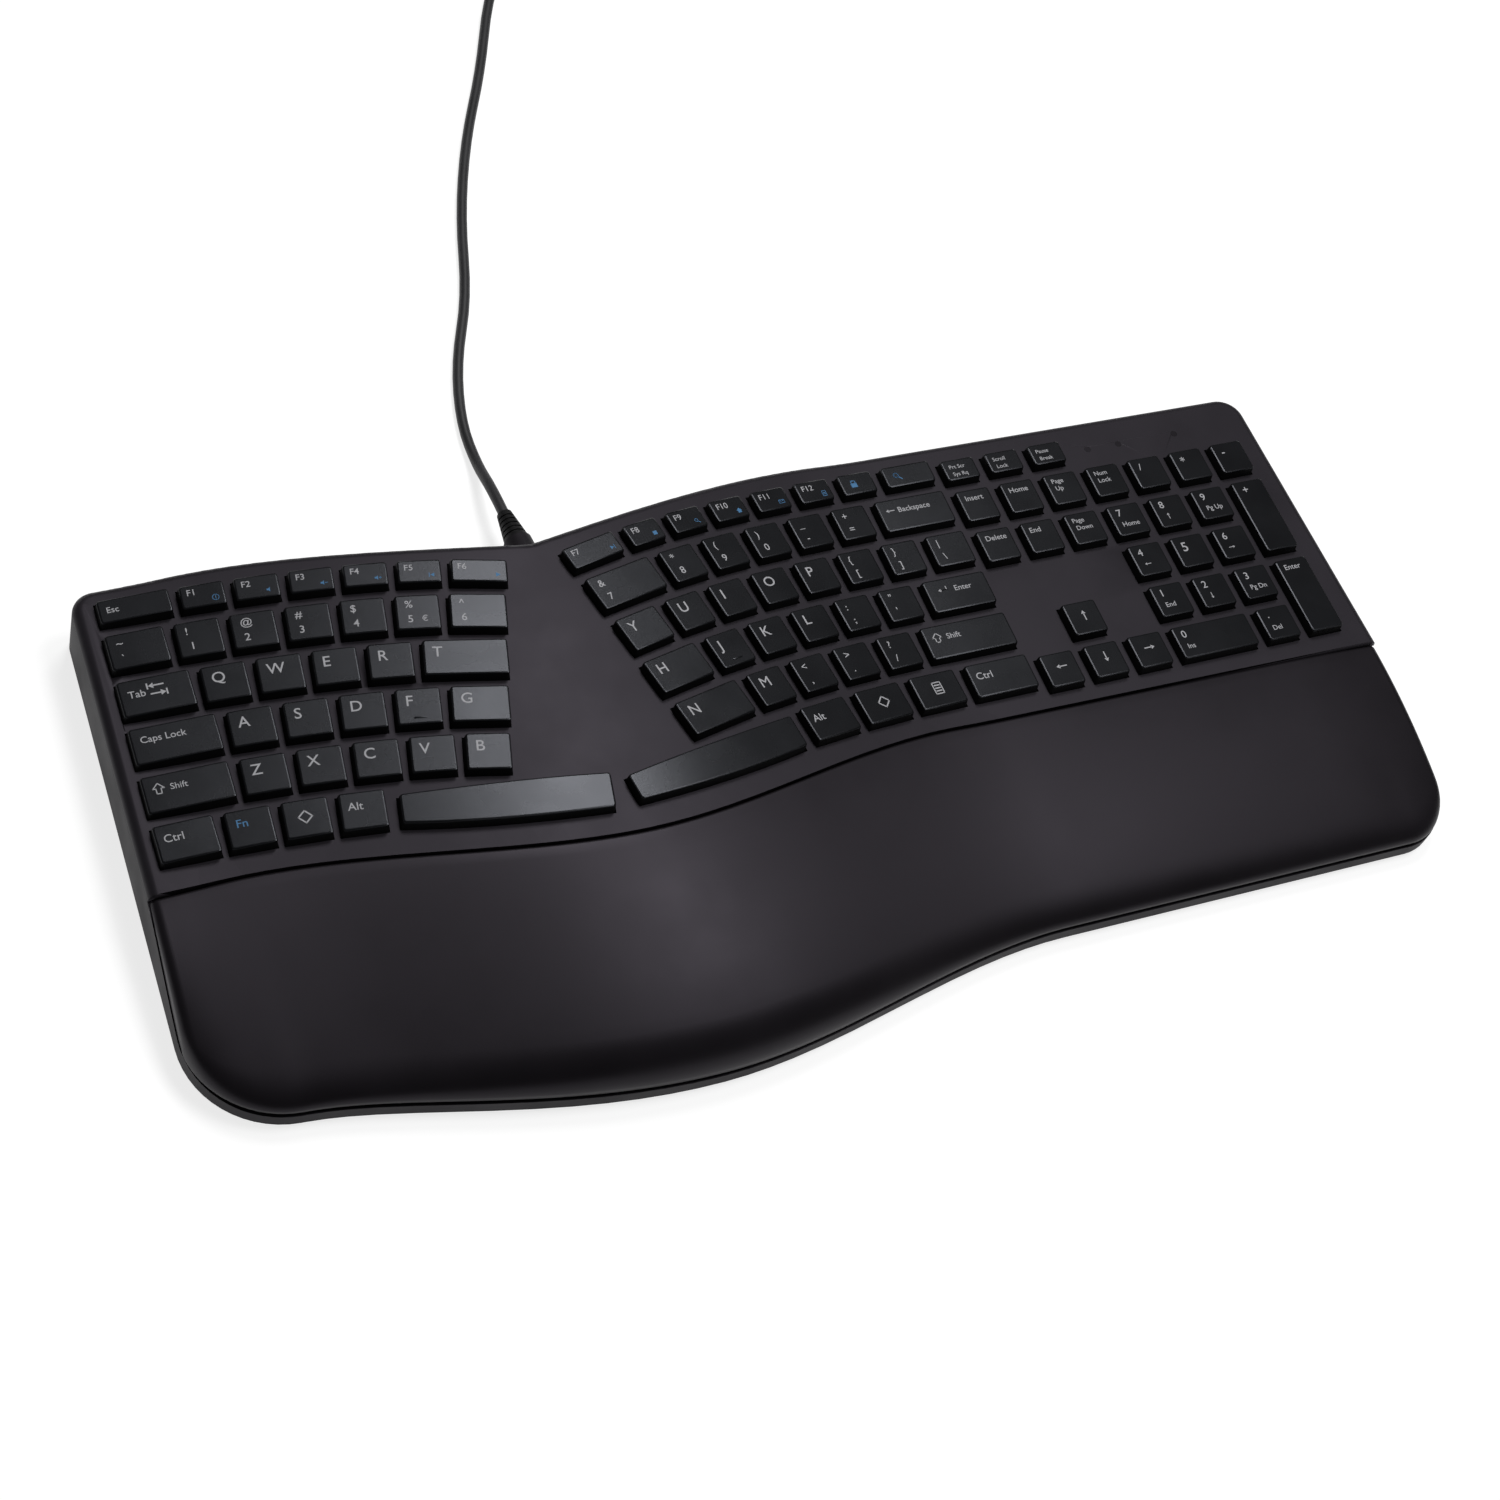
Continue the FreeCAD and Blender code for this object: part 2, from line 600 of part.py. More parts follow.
def top_deck(keys):
    """The moulded deck: a domed shell with a rolled edge, a hole for every key and screw posts."""
    plan = prism(casing_outline(), 0, CLEAR_ABOVE)
    block = plan.common(behind_seam(0)).common(below_deck(0)).Solids[0]
    rolled = []
    for e in block.Edges:
        p = e.valueAt((e.FirstParameter + e.LastParameter) / 2)
        if abs(p.z - top_height(p.x)) < 0.2 and p.y > seam_y(p.x) + 1 and e.Length > 0.5:
            rolled.append(e)
    block = block.makeFillet(DECK_EDGE_RADIUS, rolled)
    cavity = prism(casing_outline(WALL), 0, CLEAR_ABOVE).common(behind_seam(WALL))
    shell = block.cut(below_deck(DECK_SKIRT)).cut(cavity.common(below_deck(DECK_THICKNESS)))
    floor = FOOT_HEIGHT + FLOOR_THICKNESS
    posts = [post(x, y, floor, top_height(x) - DECK_THICKNESS / 2, POST_RADIUS) for x, y in DECK_POSTS]
    shell = shell.fuse(posts)
    bores = [post(x, y, 0, floor + SCREW_LENGTH, SCREW_RADIUS) for x, y in DECK_POSTS]
    holes = [key_hole(key) for group in keys.values() for key in group]
    holes += [space_hole(*space) for space in SPACES.values()]
    radius = LENS_RADIUS + LENS_CLEARANCE
    windows = [post(x, LENS_Y, 0, CLEAR_ABOVE, radius) for x in LENS_XS]
    return shell.cut(Part.makeCompound(holes + bores + windows))


def rim_cutter():
    """What is cut from the casing's wall beside the palm rest, so that its top falls to the rim."""
    start = vec(0, SEAM_LEFT_Y, DECK_HEIGHT - DECK_SKIRT - PARTING_GAP)
    level = vec(0, RIM_LEVEL_Y, RIM_HEIGHT)
    reach = (start.y - level.y) / 2
    front = FRONT_BULGE_Y - 20
    edges = [
        bezier([start, start - vec(0, reach * 0.5, 1.5), level + vec(0, reach, 0.6), level]),
        edge(level, vec(0, front, RIM_HEIGHT)),
        edge(vec(0, front, RIM_HEIGHT), vec(0, front, CLEAR_ABOVE)),
        edge(vec(0, front, CLEAR_ABOVE), vec(0, start.y, CLEAR_ABOVE)),
        edge(vec(0, start.y, CLEAR_ABOVE), start),
    ]
    face = Part.Face(Part.Wire(edges))
    face.translate(vec(LEFT_FRONT_X - 20, 0, 0))
    return face.extrude(vec(RIGHT_FRONT_X - LEFT_FRONT_X + 40, 0, 0))


def leg_pocket(x, grow):
    """The room of one fold-out leg, grown by a wall."""
    half = LEG_WIDTH / 2 + LEG_CLEARANCE + grow
    swing = LEG_THICKNESS / 2 + LEG_CLEARANCE + grow
    front = LEG_PIN_Y - LEG_LENGTH - LEG_CLEARANCE - grow
    return box(x - half, x + half, front, LEG_PIN_Y + swing, -1, LEG_PIN_Z + swing)


def bottom_shell():
    """A tray with a tall side wall that falls to a low rim along the palm rest."""
    floor = FOOT_HEIGHT + FLOOR_THICKNESS
    plan = prism(casing_outline(), FOOT_HEIGHT, CLEAR_ABOVE)
    tray = plan.cut(prism(casing_outline(WALL), floor, CLEAR_ABOVE + 1))
    tray = tray.common(below_deck(DECK_SKIRT + PARTING_GAP)).cut(rim_cutter())
    plate_drop = KEY_SKIRT + KEY_TRAVEL + DOME_SHEET_GAP + DOME_SHEET_THICKNESS
    plate_drop += CIRCUIT_THICKNESS + PLATE_THICKNESS
    half = RIB_THICKNESS / 2
    ribs = [box(x - half, x + half, RIB_FRONT_Y, RIB_REAR_Y, floor - 1, CLEAR_ABOVE) for x in RIB_XS]
    ribs = Part.makeCompound(ribs).common(below_deck(plate_drop))
    boxes = [leg_pocket(x, POCKET_WALL).common(plan) for x in LEG_XS]
    board_x, board_y = BOARD_MIDDLE
    stands = []
    for side in (-1, 1):
        x = board_x + side * (BOARD_SIZE[0] / 2 - BOARD_POST_RADIUS)
        stands.append(post(x, board_y, floor - 1, floor + BOARD_POST, BOARD_POST_RADIUS))
    tray = tray.fuse(ribs.Solids + boxes + stands + [boot_collar()])
    cuts = []
    for x in LEG_XS:
        cuts.append(leg_pocket(x, 0))
        span = LEG_WIDTH / 2 + LEG_PIN_LENGTH + LEG_CLEARANCE
        pin_hole = Part.makeCylinder(
            LEG_PIN_RADIUS + LEG_PIN_CLEARANCE, 2 * span, vec(x - span, LEG_PIN_Y, LEG_PIN_Z), vec(1, 0)
        )
        cuts.append(pin_hole)
    for x, y in FEET:
        cuts.append(foot(x, y, FOOT_HEIGHT - 1, FOOT_HEIGHT + FOOT_SEAT, 0.0))
    for x, y in DECK_POSTS + PALM_SCREWS:
        cuts.append(post(x, y, 0, floor + 1, SCREW_RADIUS + 0.1))
        cuts.append(post(x, y, 0, FOOT_HEIGHT + SCREW_HEAD_HEIGHT, SCREW_HEAD_RADIUS + 0.2))
    direction, root = boot_axis()
    inside = 4 * WALL
    bore = COLLAR_LENGTH + inside + 1
    cuts.append(Part.makeCylinder(BOOT_NECK_RADIUS, bore, root - direction * inside, direction))
    return tray.cut(Part.makeCompound(cuts))


def foot(x, y, z0, z1, clearance):
    """A stadium-shaped pad."""
    half = FOOT_LENGTH / 2 - FOOT_WIDTH / 2
    radius = FOOT_WIDTH / 2 - clearance
    left, right = vec(x - half, y), vec(x + half, y)
    up, out = vec(0, radius), vec(radius, 0)
    edges = [
        edge(left - up, right - up),
        Part.Arc(right - up, right + out, right + up).toShape(),
        edge(right + up, left + up),
        Part.Arc(left + up, left - out, left - up).toShape(),
    ]
    return prism(Part.Wire(edges), z0, z1)


def screws():
    solids = []
    for x, y in DECK_POSTS + PALM_SCREWS:
        head = post(x, y, FOOT_HEIGHT + 0.3, FOOT_HEIGHT + SCREW_HEAD_HEIGHT, SCREW_HEAD_RADIUS)
        shank = post(x, y, FOOT_HEIGHT + 0.3, FOOT_HEIGHT + SCREW_LENGTH, SCREW_RADIUS)
        solids.append(head.fuse(shank).removeSplitter())
    return solids


# Layers under the keys.


def layer(top_drop, thickness):
    """A thin sheet that follows the hump under all the keys, with room for the deck's posts."""
    plan = prism(casing_outline(PLATE_INSET), 0, CLEAR_ABOVE).common(behind_seam(PLATE_INSET))
    sheet = plan.common(below_deck(top_drop)).cut(below_deck(top_drop + thickness))
    posts = [post(x, y, 0, CLEAR_ABOVE, POST_RADIUS + POST_CLEARANCE) for x, y in DECK_POSTS]
    windows = [post(x, LENS_Y, 0, CLEAR_ABOVE, LENS_RADIUS + POST_CLEARANCE) for x in LENS_XS]
    return sheet.cut(Part.makeCompound(posts + windows))


def controller_board():
    x, y = BOARD_MIDDLE
    half_x, half_y = BOARD_SIZE[0] / 2, BOARD_SIZE[1] / 2
    z = FOOT_HEIGHT + FLOOR_THICKNESS + BOARD_POST
    board = box(x - half_x, x + half_x, y - half_y, y + half_y, z, z + BOARD_THICKNESS)
    top = z + BOARD_THICKNESS
    length, width, height = CHIP_SIZE
    chip = box(x - length / 2, x + length / 2, y - width / 2, y + width / 2, top, top + height)
    length, width, height = SOCKET_SIZE
    rear = y + half_y - 1
    socket = box(x - length / 2, x + length / 2, rear - width, rear, top, top + height)
    return board.fuse([chip, socket])


def lenses():
    top = DECK_HEIGHT
    return [post(x, LENS_Y, top - LENS_DEPTH, top, LENS_RADIUS) for x in LENS_XS]


# Palm rest.


def front_y(x, plan):
    """Where the casing's front edge stands at x, for the casing seen from above as a face."""
    chord = plan.common(edge(vec(x, SEAM_MIDDLE_Y), vec(x, FRONT_BULGE_Y - 1)))
    return min(v.Y for v in chord.Vertexes)


def palm_section(x, thinner, floor, plan):
    """One upright slice of the palm rest, from the seam to the front, thinner by a skin."""
    sides = plan.BoundBox
    end = min(x - sides.XMin, sides.XMax - x) - PALM_SIDE_INSET
    side = max(0.0, 1 - max(end, 0) / PALM_SIDE_ROLL)
    sink = 1 - math.sqrt(1 - side * side)
    rear = seam_y(x) - SEAM_GAP - thinner / 2
    front = front_y(x, plan) + PALM_SIDE_INSET + thinner
    corner = max(0.0, 1 - max(end, 0) / FRONT_RIGHT_RADIUS)
    shoulder = front + PALM_ROLL - (PALM_ROLL - PALM_CORNER_ROLL) * corner
    before_corner = min(max(x, sides.XMin + FRONT_LEFT_RADIUS), sides.XMax - FRONT_RIGHT_RADIUS)
    full_shoulder = front_y(before_corner, plan) + PALM_SIDE_INSET + thinner + PALM_ROLL
    rear_top = top_height(x) - PALM_STEP
    front_full = PALM_FRONT_HEIGHT + PALM_FRONT_HUMP * ease(abs(x) / HUMP_HALF_WIDTH)
    front_top = rear_top + (front_full - rear_top) * (rear - shoulder) / (rear - full_shoulder)
    lower = PALM_SIDE_DROP * sink + thinner
    edge_z = max(PALM_EDGE_Z - thinner, floor + 1)
    a = vec(x, rear, floor)
    b = vec(x, rear, rear_top - lower)
    c = vec(x, shoulder, front_top - lower)
    d = vec(x, front, edge_z)
    e = vec(x, front + PALM_DRAW_IN, floor)
    crown = (b + c) / 2 + vec(0, 0, PALM_CROWN)
    top = Part.Arc(b, crown, c).toShape()
    roll = biarc(c, top.tangentAt(top.LastParameter), d, vec(0, 0, -1))
    return Part.Wire([edge(a, b), top] + roll + [edge(d, e), edge(e, a)])


def palm_stations(inner, plan):
    """Where the slices stand: close together at the rounded ends, wide apart between."""
    left = plan.BoundBox.XMin + PALM_SIDE_INSET + inner
    right = plan.BoundBox.XMax - PALM_SIDE_INSET - inner
    near = [0.0, 0.7, 2.2, 5.0, 10.0, 18.0, 31.0]
    middle = [-95.0, -60.0, -28.0, 5.0, 40.0, 80.0, 120.0, 165.0, 225.0]
    return [left + d for d in near] + middle + [right - d for d in reversed(near)]


def palm_form(thinner, inner, floor):
    plan = Part.Face(casing_outline())
    sections = [palm_section(x, thinner, floor, plan) for x in palm_stations(inner, plan)]
    return Part.makeLoft(sections, True, False)


def palm_core():
    floor = FOOT_HEIGHT + FLOOR_THICKNESS
    core = palm_form(CUSHION_THICKNESS, CORE_END_INSET, floor)
    pockets = [leg_pocket(x, POCKET_WALL + LEG_CLEARANCE) for x in LEG_XS]
    bores = [post(x, y, 0, FOOT_HEIGHT + SCREW_LENGTH + 1, SCREW_RADIUS) for x, y in PALM_SCREWS]
    return core.cut(Part.makeCompound(pockets + bores))


def palm_cushion(tray):
    """The padded skin over the core: what the form holds outside the core and above the tray."""
    floor = FOOT_HEIGHT + FLOOR_THICKNESS
    inner = palm_form(CUSHION_THICKNESS, CORE_END_INSET, floor)
    bounds = prism(casing_outline(PALM_SIDE_INSET), 0, CLEAR_ABOVE)
    return palm_form(0, 0, floor).common(bounds).cut(inner).cut(tray)


# Fold-out legs.


def tilt_leg(x):
    """A flap on two stub pins, folded flat into its pocket."""
    half = LEG_WIDTH / 2
    radius = LEG_THICKNESS / 2
    low, high = LEG_PIN_Z - radius, LEG_PIN_Z + radius
    front = LEG_PIN_Y - LEG_LENGTH
    plate = box(x - half, x + half, front + LEG_PAD_THICKNESS, LEG_PIN_Y, low, high)
    knuckle = Part.makeCylinder(radius, LEG_WIDTH, vec(x - half, LEG_PIN_Y, LEG_PIN_Z), vec(1, 0))
    reach = half + LEG_PIN_LENGTH
    start = vec(x - reach, LEG_PIN_Y, LEG_PIN_Z)
    pin = Part.makeCylinder(LEG_PIN_RADIUS, 2 * reach, start, vec(1, 0))
    grip_end = front + LEG_GRIP_LENGTH
    grip = box(x - half / 2, x + half / 2, front - 1, grip_end, low - 1, low + LEG_GRIP_DEPTH)
    return plate.fuse([knuckle, pin]).cut(grip)


def leg_pad(x):
    half = LEG_WIDTH / 2
    radius = LEG_THICKNESS / 2
    front = LEG_PIN_Y - LEG_LENGTH
    low = LEG_PIN_Z - radius + LEG_PAD_RAISE
    return box(x - half, x + half, front, front + LEG_PAD_THICKNESS, low, LEG_PIN_Z + radius)


# Cable boot, cord, coil and plug.


def boot_axis():
    """The boot's direction and the point of its axis at the inside of the rear wall."""
    tip = vec(BOOT_X, BOOT_TIP_Y, BOOT_TIP_Z)
    root = vec(BOOT_X, NOTCH_Y + 1.0, BOOT_Z)
    return (tip - root).normalize(), root


def boot_collar():
    """The smooth cone on the rear wall that the boot comes out of."""
    direction, root = boot_axis()
    start = root - direction * WALL
    return Part.makeCone(COLLAR_ROOT_RADIUS, COLLAR_END_RADIUS, WALL + COLLAR_LENGTH, start, direction)


def boot_head(length):
    """The outline of the ribbed head as radii and heights: a taper with square grooves."""
    points = [(BOOT_NECK_RADIUS, COLLAR_LENGTH), (BOOT_ROOT_RADIUS, COLLAR_LENGTH)]
    first = COLLAR_LENGTH + BOOT_FIRST_GROOVE
    step = (length - BOOT_LAST_GROOVE - first) / BOOT_RIBS
    taper = (BOOT_ROOT_RADIUS - BOOT_TIP_RADIUS) / (length - COLLAR_LENGTH)
    for rib in range(BOOT_RIBS):
        groove = first + rib * step
        after = groove + step / 3
        radius = BOOT_ROOT_RADIUS - taper * (groove - COLLAR_LENGTH)
        points += [(radius, groove), (radius - BOOT_GROOVE, groove), (radius - BOOT_GROOVE, after)]
        points += [(radius - taper * step / 3, after)]
    return points + [(BOOT_TIP_RADIUS, length), (0, length)]


def cable_boot():
    """A tapered, ribbed head on a neck through the collar, with a flange inside the wall."""
    direction, root = boot_axis()
    length = (vec(BOOT_X, BOOT_TIP_Y, BOOT_TIP_Z) - root).Length
    neck = -WALL - BOOT_FLANGE_GAP
    start = neck - BOOT_FLANGE_THICKNESS
    points = [(0, start), (BOOT_FLANGE_RADIUS, start), (BOOT_FLANGE_RADIUS, neck), (BOOT_NECK_RADIUS, neck)]
    points += boot_head(length)
    profile = Part.makePolygon([vec(r, 0, h) for r, h in points] + [vec(0, 0, start)])
    body = Part.Face(profile).revolve(vec(0, 0), vec(0, 0, 1), 360)
    body.Placement = FreeCAD.Placement(root, FreeCAD.Rotation(vec(0, 0, 1), direction))
    return body


def tube_path(points, name):
    """Straight runs joined by tangent arcs, each arc as large as its two runs allow."""
    edges = []
    last = points[0]
    radii = []
    for a, corner, b in zip(points, points[1:], points[2:]):
        reach = 0.45 * min((corner - a).Length, (b - corner).Length)
        start = corner + (a - corner).normalize() * reach
        end = corner + (b - corner).normalize() * reach
        turn = (corner - a).getAngle(b - corner)
        radii.append(reach / math.tan(turn / 2))
        edges += [edge(last, start), arc_at(start, corner, end)]
        last = end
    edges.append(edge(last, points[-1]))
    path = Part.Wire(edges)
    print(name, "length", round(path.Length, 1), "smallest radius", round(min(radii), 1))
    return path


def tube(path, start, direction, name):
    circle = Part.Wire(Part.makeCircle(CORD_RADIUS, start, direction))
    solid = path.makePipeShell([circle], True, False)
    share = solid.Volume / (math.pi * CORD_RADIUS**2 * path.Length)
    print(name, "volume over section times length", round(share, 4))
    return solid


def coil_point(step):
    """A point of the coil and the way it runs there, at a step of the whole number of steps."""
    steps = COIL_LAYERS * COIL_STEPS_PER_LAYER
    sweep = COIL_TURNS * 360 + COIL_START_ANGLE - COIL_END_ANGLE
    angle = math.radians(COIL_START_ANGLE - sweep * step / steps)
    per_step = math.radians(sweep / steps)
    span, within = divmod(step, COIL_STEPS_PER_LAYER)
    rate = (COIL_OUTER_RADIUS - COIL_INNER_RADIUS) / COIL_STEPS_PER_LAYER
    inward = span % 2 == 0
    radius = COIL_OUTER_RADIUS - rate * within if inward else COIL_INNER_RADIUS + rate * within
    turning = within == 0
    slope = 0.0 if turning else (-rate if inward else rate)
    ends = step in (0, steps)
    layer_of = span - 0.5 if turning and not ends else min(span, COIL_LAYERS - 1)
    z = TIE_THICKNESS + TIE_GAP + CORD_RADIUS + layer_of * COIL_LAYER_PITCH
    climb = COIL_LAYER_PITCH / 1.6 if turning and not ends else 0.0
    outwards = vec(math.cos(angle), math.sin(angle))
    onwards = vec(math.sin(angle), -math.cos(angle))
    middle = vec(COIL_MIDDLE[0], COIL_MIDDLE[1], z)
    way = onwards * (radius * per_step) + outwards * slope + vec(0, 0, climb)
    return middle + outwards * radius, way.normalize()


def biarc(p0, t0, p1, t1):
    """Two arcs that leave p0 along t0, meet smoothly and reach p1 along t1."""
    v = p1 - p0
    t = t0 + t1
    spare = 2 * (1 - t0.dot(t1))
    reach = (math.sqrt(v.dot(t) ** 2 + spare * v.dot(v)) - v.dot(t)) / spare
    a, b = p0 + t0 * reach, p1 - t1 * reach
    joint = (a + b) / 2
    return [arc_at(p0, a, joint), arc_at(joint, b, p1)]


def coil_path():
    steps = COIL_LAYERS * COIL_STEPS_PER_LAYER
    nodes = [coil_point(step) for step in range(steps + 1)]
    first, first_way = nodes[0]
    last, last_way = nodes[-1]
    edges = [edge(first - first_way * 2 * CORD_RADIUS, first)]
    for (p0, t0), (p1, t1) in zip(nodes, nodes[1:]):
        edges += biarc(p0, t0, p1, t1)
    edges.append(edge(last, last + last_way * 2 * CORD_RADIUS))
    return Part.Wire(edges)


def least_gap(path):
    """The coil's least gap to itself, on points along its middle line."""
    points = path.discretize(Distance=1.0)
    skip = 16
    nearest = min(
        (points[i] - points[j]).Length
        for i in range(0, len(points), 2)
        for j in range(i + skip, len(points), 2)
    )
    return nearest - 2 * CORD_RADIUS


def coil_tie():
    """A strap once round the bundle of turns."""
    inner = COIL_INNER_RADIUS - CORD_RADIUS - TIE_SIDE_GAP
    outer = COIL_OUTER_RADIUS + CORD_RADIUS + TIE_SIDE_GAP
    top = TIE_THICKNESS + 2 * TIE_GAP + 2 * CORD_RADIUS + (COIL_LAYERS - 1) * COIL_LAYER_PITCH
    half = TIE_WIDTH / 2
    wide = box(inner - TIE_THICKNESS, outer + TIE_THICKNESS, -half, half, 0, top + TIE_THICKNESS)
    lengthways = [e for e in wide.Edges if abs(e.Vertexes[0].Y - e.Vertexes[1].Y) > 1]
    band = wide.makeFillet(2 * TIE_THICKNESS, lengthways)
    room = box(inner, outer, -half - 1, half + 1, TIE_THICKNESS, top)
    lengthways = [e for e in room.Edges if abs(e.Vertexes[0].Y - e.Vertexes[1].Y) > 1]
    band = band.cut(room.makeFillet(TIE_THICKNESS, lengthways))
    band.rotate(vec(0, 0), vec(0, 0, 1), TIE_ANGLE)
    band.translate(vec(COIL_MIDDLE[0], COIL_MIDDLE[1]))
    return band


def plug_parts(entry):
    """The plug's moulded body and its hollow metal shell, lying on the floor, pointing along X."""
    length, width, height = PLUG_BODY
    body = box(entry.x, entry.x + length, entry.y - width / 2, entry.y + width / 2, 0, height)
    body = body.makeFillet(PLUG_CORNER, body.Edges)
    shell_length, shell_width, shell_height = PLUG_SHELL
    wall = PLUG_SHELL_WALL
    x0, x1 = entry.x + length, entry.x + length + shell_length
    y0, y1 = entry.y - shell_width / 2, entry.y + shell_width / 2
    z0 = (height - shell_height) / 2
    z1 = z0 + shell_height
    shell = box(x0, x1, y0, y1, z0, z1)
    bore = box(x0 + wall, x1 + 1, y0 + wall, y1 - wall, z0 + wall, z1 - wall)
    tongue_end = x1 - PLUG_TONGUE_SETBACK
    tongue = box(x0, tongue_end, y0 + wall, y1 - wall, z0 + wall, z0 + wall + PLUG_TONGUE_THICKNESS)
    return body, shell.cut(bore).fuse(tongue)


def cord_parts(nodes):
    direction, _ = boot_axis()
    tip = vec(BOOT_X, BOOT_TIP_Y, BOOT_TIP_Z)
    first, first_way = coil_point(0)
    last, last_way = coil_point(COIL_LAYERS * COIL_STEPS_PER_LAYER)
    coil_start = first - first_way * 2 * CORD_RADIUS
    coil_end = last + last_way * 2 * CORD_RADIUS
    route = [tip, tip + direction * BOOT_LEAD] + [vec(*p) for p in ROUTE]
    route += [coil_start - first_way * COIL_LEAD, coil_start]
    nodes["cord"] = tube(tube_path(route, "cord"), tip, direction, "cord")
    coil = coil_path()
    nodes["cord_coil"] = tube(coil, coil_start, first_way, "coil")
    print("coil length", round(coil.Length, 1), "least gap", round(least_gap(coil), 2))
    tail = [coil_end, coil_end + last_way * TAIL_LEAD]
    tail += [vec(coil_end.x + x, coil_end.y + y, z) for x, y, z in TAIL]
    nodes["cord_tail"] = tube(tube_path(tail, "tail"), coil_end, last_way, "tail")
    nodes["coil_tie"] = coil_tie()
    nodes["usb_plug_body"], nodes["usb_plug_shell"] = plug_parts(tail[-1])


def build():
    keys = {}
    left_fan_keys(keys)
    right_fan_keys(keys)
    pad_keys(keys)
    tray = bottom_shell()
    nodes = {
        "bottom_shell": tray,
        "top_deck": top_deck(keys),
        "palm_core": palm_core(),
        "palm_cushion": palm_cushion(tray),
    }
    drop = KEY_SKIRT + KEY_TRAVEL + DOME_SHEET_GAP
    nodes["dome_sheet"] = layer(drop, DOME_SHEET_THICKNESS)
    drop += DOME_SHEET_THICKNESS
    nodes["circuit_sheet"] = layer(drop, CIRCUIT_THICKNESS)
    drop += CIRCUIT_THICKNESS
    nodes["key_plate"] = layer(drop, PLATE_THICKNESS)
    nodes["controller_board"] = controller_board()
    nodes["indicator_lenses"] = Part.makeCompound(lenses())
    nodes["case_screws"] = Part.makeCompound(screws())
    feet = [foot(x, y, 0, FOOT_HEIGHT + FOOT_SEAT, 0.0) for x, y in FEET]
    nodes["rubber_feet"] = Part.makeCompound(feet)
    for side, x in zip(("left", "right"), LEG_XS):
        nodes["tilt_leg_" + side] = tilt_leg(x)
        nodes["leg_pad_" + side] = leg_pad(x)
    for node, group in keys.items():
        nodes[node] = Part.makeCompound([key_cap(key) for key in group])
    for node, space in SPACES.items():
        nodes[node] = space_bar(*space)
    nodes["cable_boot"] = cable_boot()
    cord_parts(nodes)
    return nodes


def main():
    os.makedirs("parts", exist_ok=True)
    nodes = build()
    casing = nodes["bottom_shell"].BoundBox
    middle = vec(casing.Center.x, casing.Center.y)
    print("origin at", round(middle.x, 3), round(middle.y, 3))
    for node, shape in nodes.items():
        shape.translate(-middle)
        shape.exportStep("parts/" + node + ".step")
        if not shape.isValid():
            print("not valid:", node)
    print(len(nodes), "nodes")


main()
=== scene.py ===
# %% [markdown]
# # A split ergonomic keyboard
#
# The real object is a one-piece wired keyboard: a charcoal deck with a soft hump between two fans of
# keys, a number pad, and a padded palm rest along the front. The hard parts come from the CAD frame.
# Here they get a studio, a cord, keycaps with printed signs, a padded rest and their finishes.

# %% Load the frame
import math

import bmesh
import bpy
from mathutils import Matrix, Vector


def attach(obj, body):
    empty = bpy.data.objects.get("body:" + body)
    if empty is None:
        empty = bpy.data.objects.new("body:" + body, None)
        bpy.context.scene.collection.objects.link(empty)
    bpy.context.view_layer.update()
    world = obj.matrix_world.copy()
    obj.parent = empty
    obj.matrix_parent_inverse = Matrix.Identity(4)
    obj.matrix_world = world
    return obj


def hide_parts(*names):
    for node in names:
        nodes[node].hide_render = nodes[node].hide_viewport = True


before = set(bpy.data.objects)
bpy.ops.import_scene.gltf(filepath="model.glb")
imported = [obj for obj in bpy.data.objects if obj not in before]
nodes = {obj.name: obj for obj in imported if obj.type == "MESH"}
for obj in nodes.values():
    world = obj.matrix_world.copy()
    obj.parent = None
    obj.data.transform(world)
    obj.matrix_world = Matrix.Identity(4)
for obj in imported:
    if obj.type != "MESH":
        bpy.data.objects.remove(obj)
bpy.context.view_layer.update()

MM = 0.001

# %% [markdown]
# ## Studio and camera
#
# The photo was taken from the front left and from well above, with a long lens. Position and turn
# were worked out from the corners of the keys, so the camera is placed by its three axes. A pale
# floor carries the shadow. It reads as white to the camera, in reflections and through clear pieces,
# but is an ordinary pale surface for all other light, so the object isn't flooded from below.

# %% Camera
CAMERA_PLACE = (-0.414352, -0.4438, 0.8466)
CAMERA_RIGHT = (0.9009, -0.3660, 0.2333)
CAMERA_UP = (0.1957, 0.8223, 0.5343)
CAMERA_BACK = (-0.3874, -0.4357, 0.8125)
CAMERA_LENS, SENSOR_WIDTH = 69.02, 36.0


def add_camera():
    bpy.ops.object.camera_add(location=CAMERA_PLACE)
    camera = bpy.context.object
    camera.name = "photo_camera"
    turn = Matrix((CAMERA_RIGHT, CAMERA_UP, CAMERA_BACK)).transposed()
    camera.rotation_mode = "QUATERNION"
    camera.rotation_quaternion = turn.to_quaternion()
    camera.data.sensor_width = SENSOR_WIDTH
    camera.data.lens = CAMERA_LENS
    camera.data.clip_start = 0.05
    camera.data.clip_end = 50.0
    bpy.context.scene.camera = camera
    return camera


camera = add_camera()
print("camera", tuple(round(c, 3) for c in camera.location), "lens", camera.data.lens)


# %% Small helpers for selecting and making
def deselect():
    if bpy.context.mode != "OBJECT":
        bpy.ops.object.mode_set(mode="OBJECT")
    bpy.ops.object.select_all(action="DESELECT")


def pick(*objects):
    """Selects these objects only, the first one active."""
    deselect()
    for o in objects:
        o.select_set(True)
    bpy.context.view_layer.objects.active = objects[0]


def add_object(name, data):
    made = bpy.data.objects.new(name, data)
    bpy.context.scene.collection.objects.link(made)
    return made


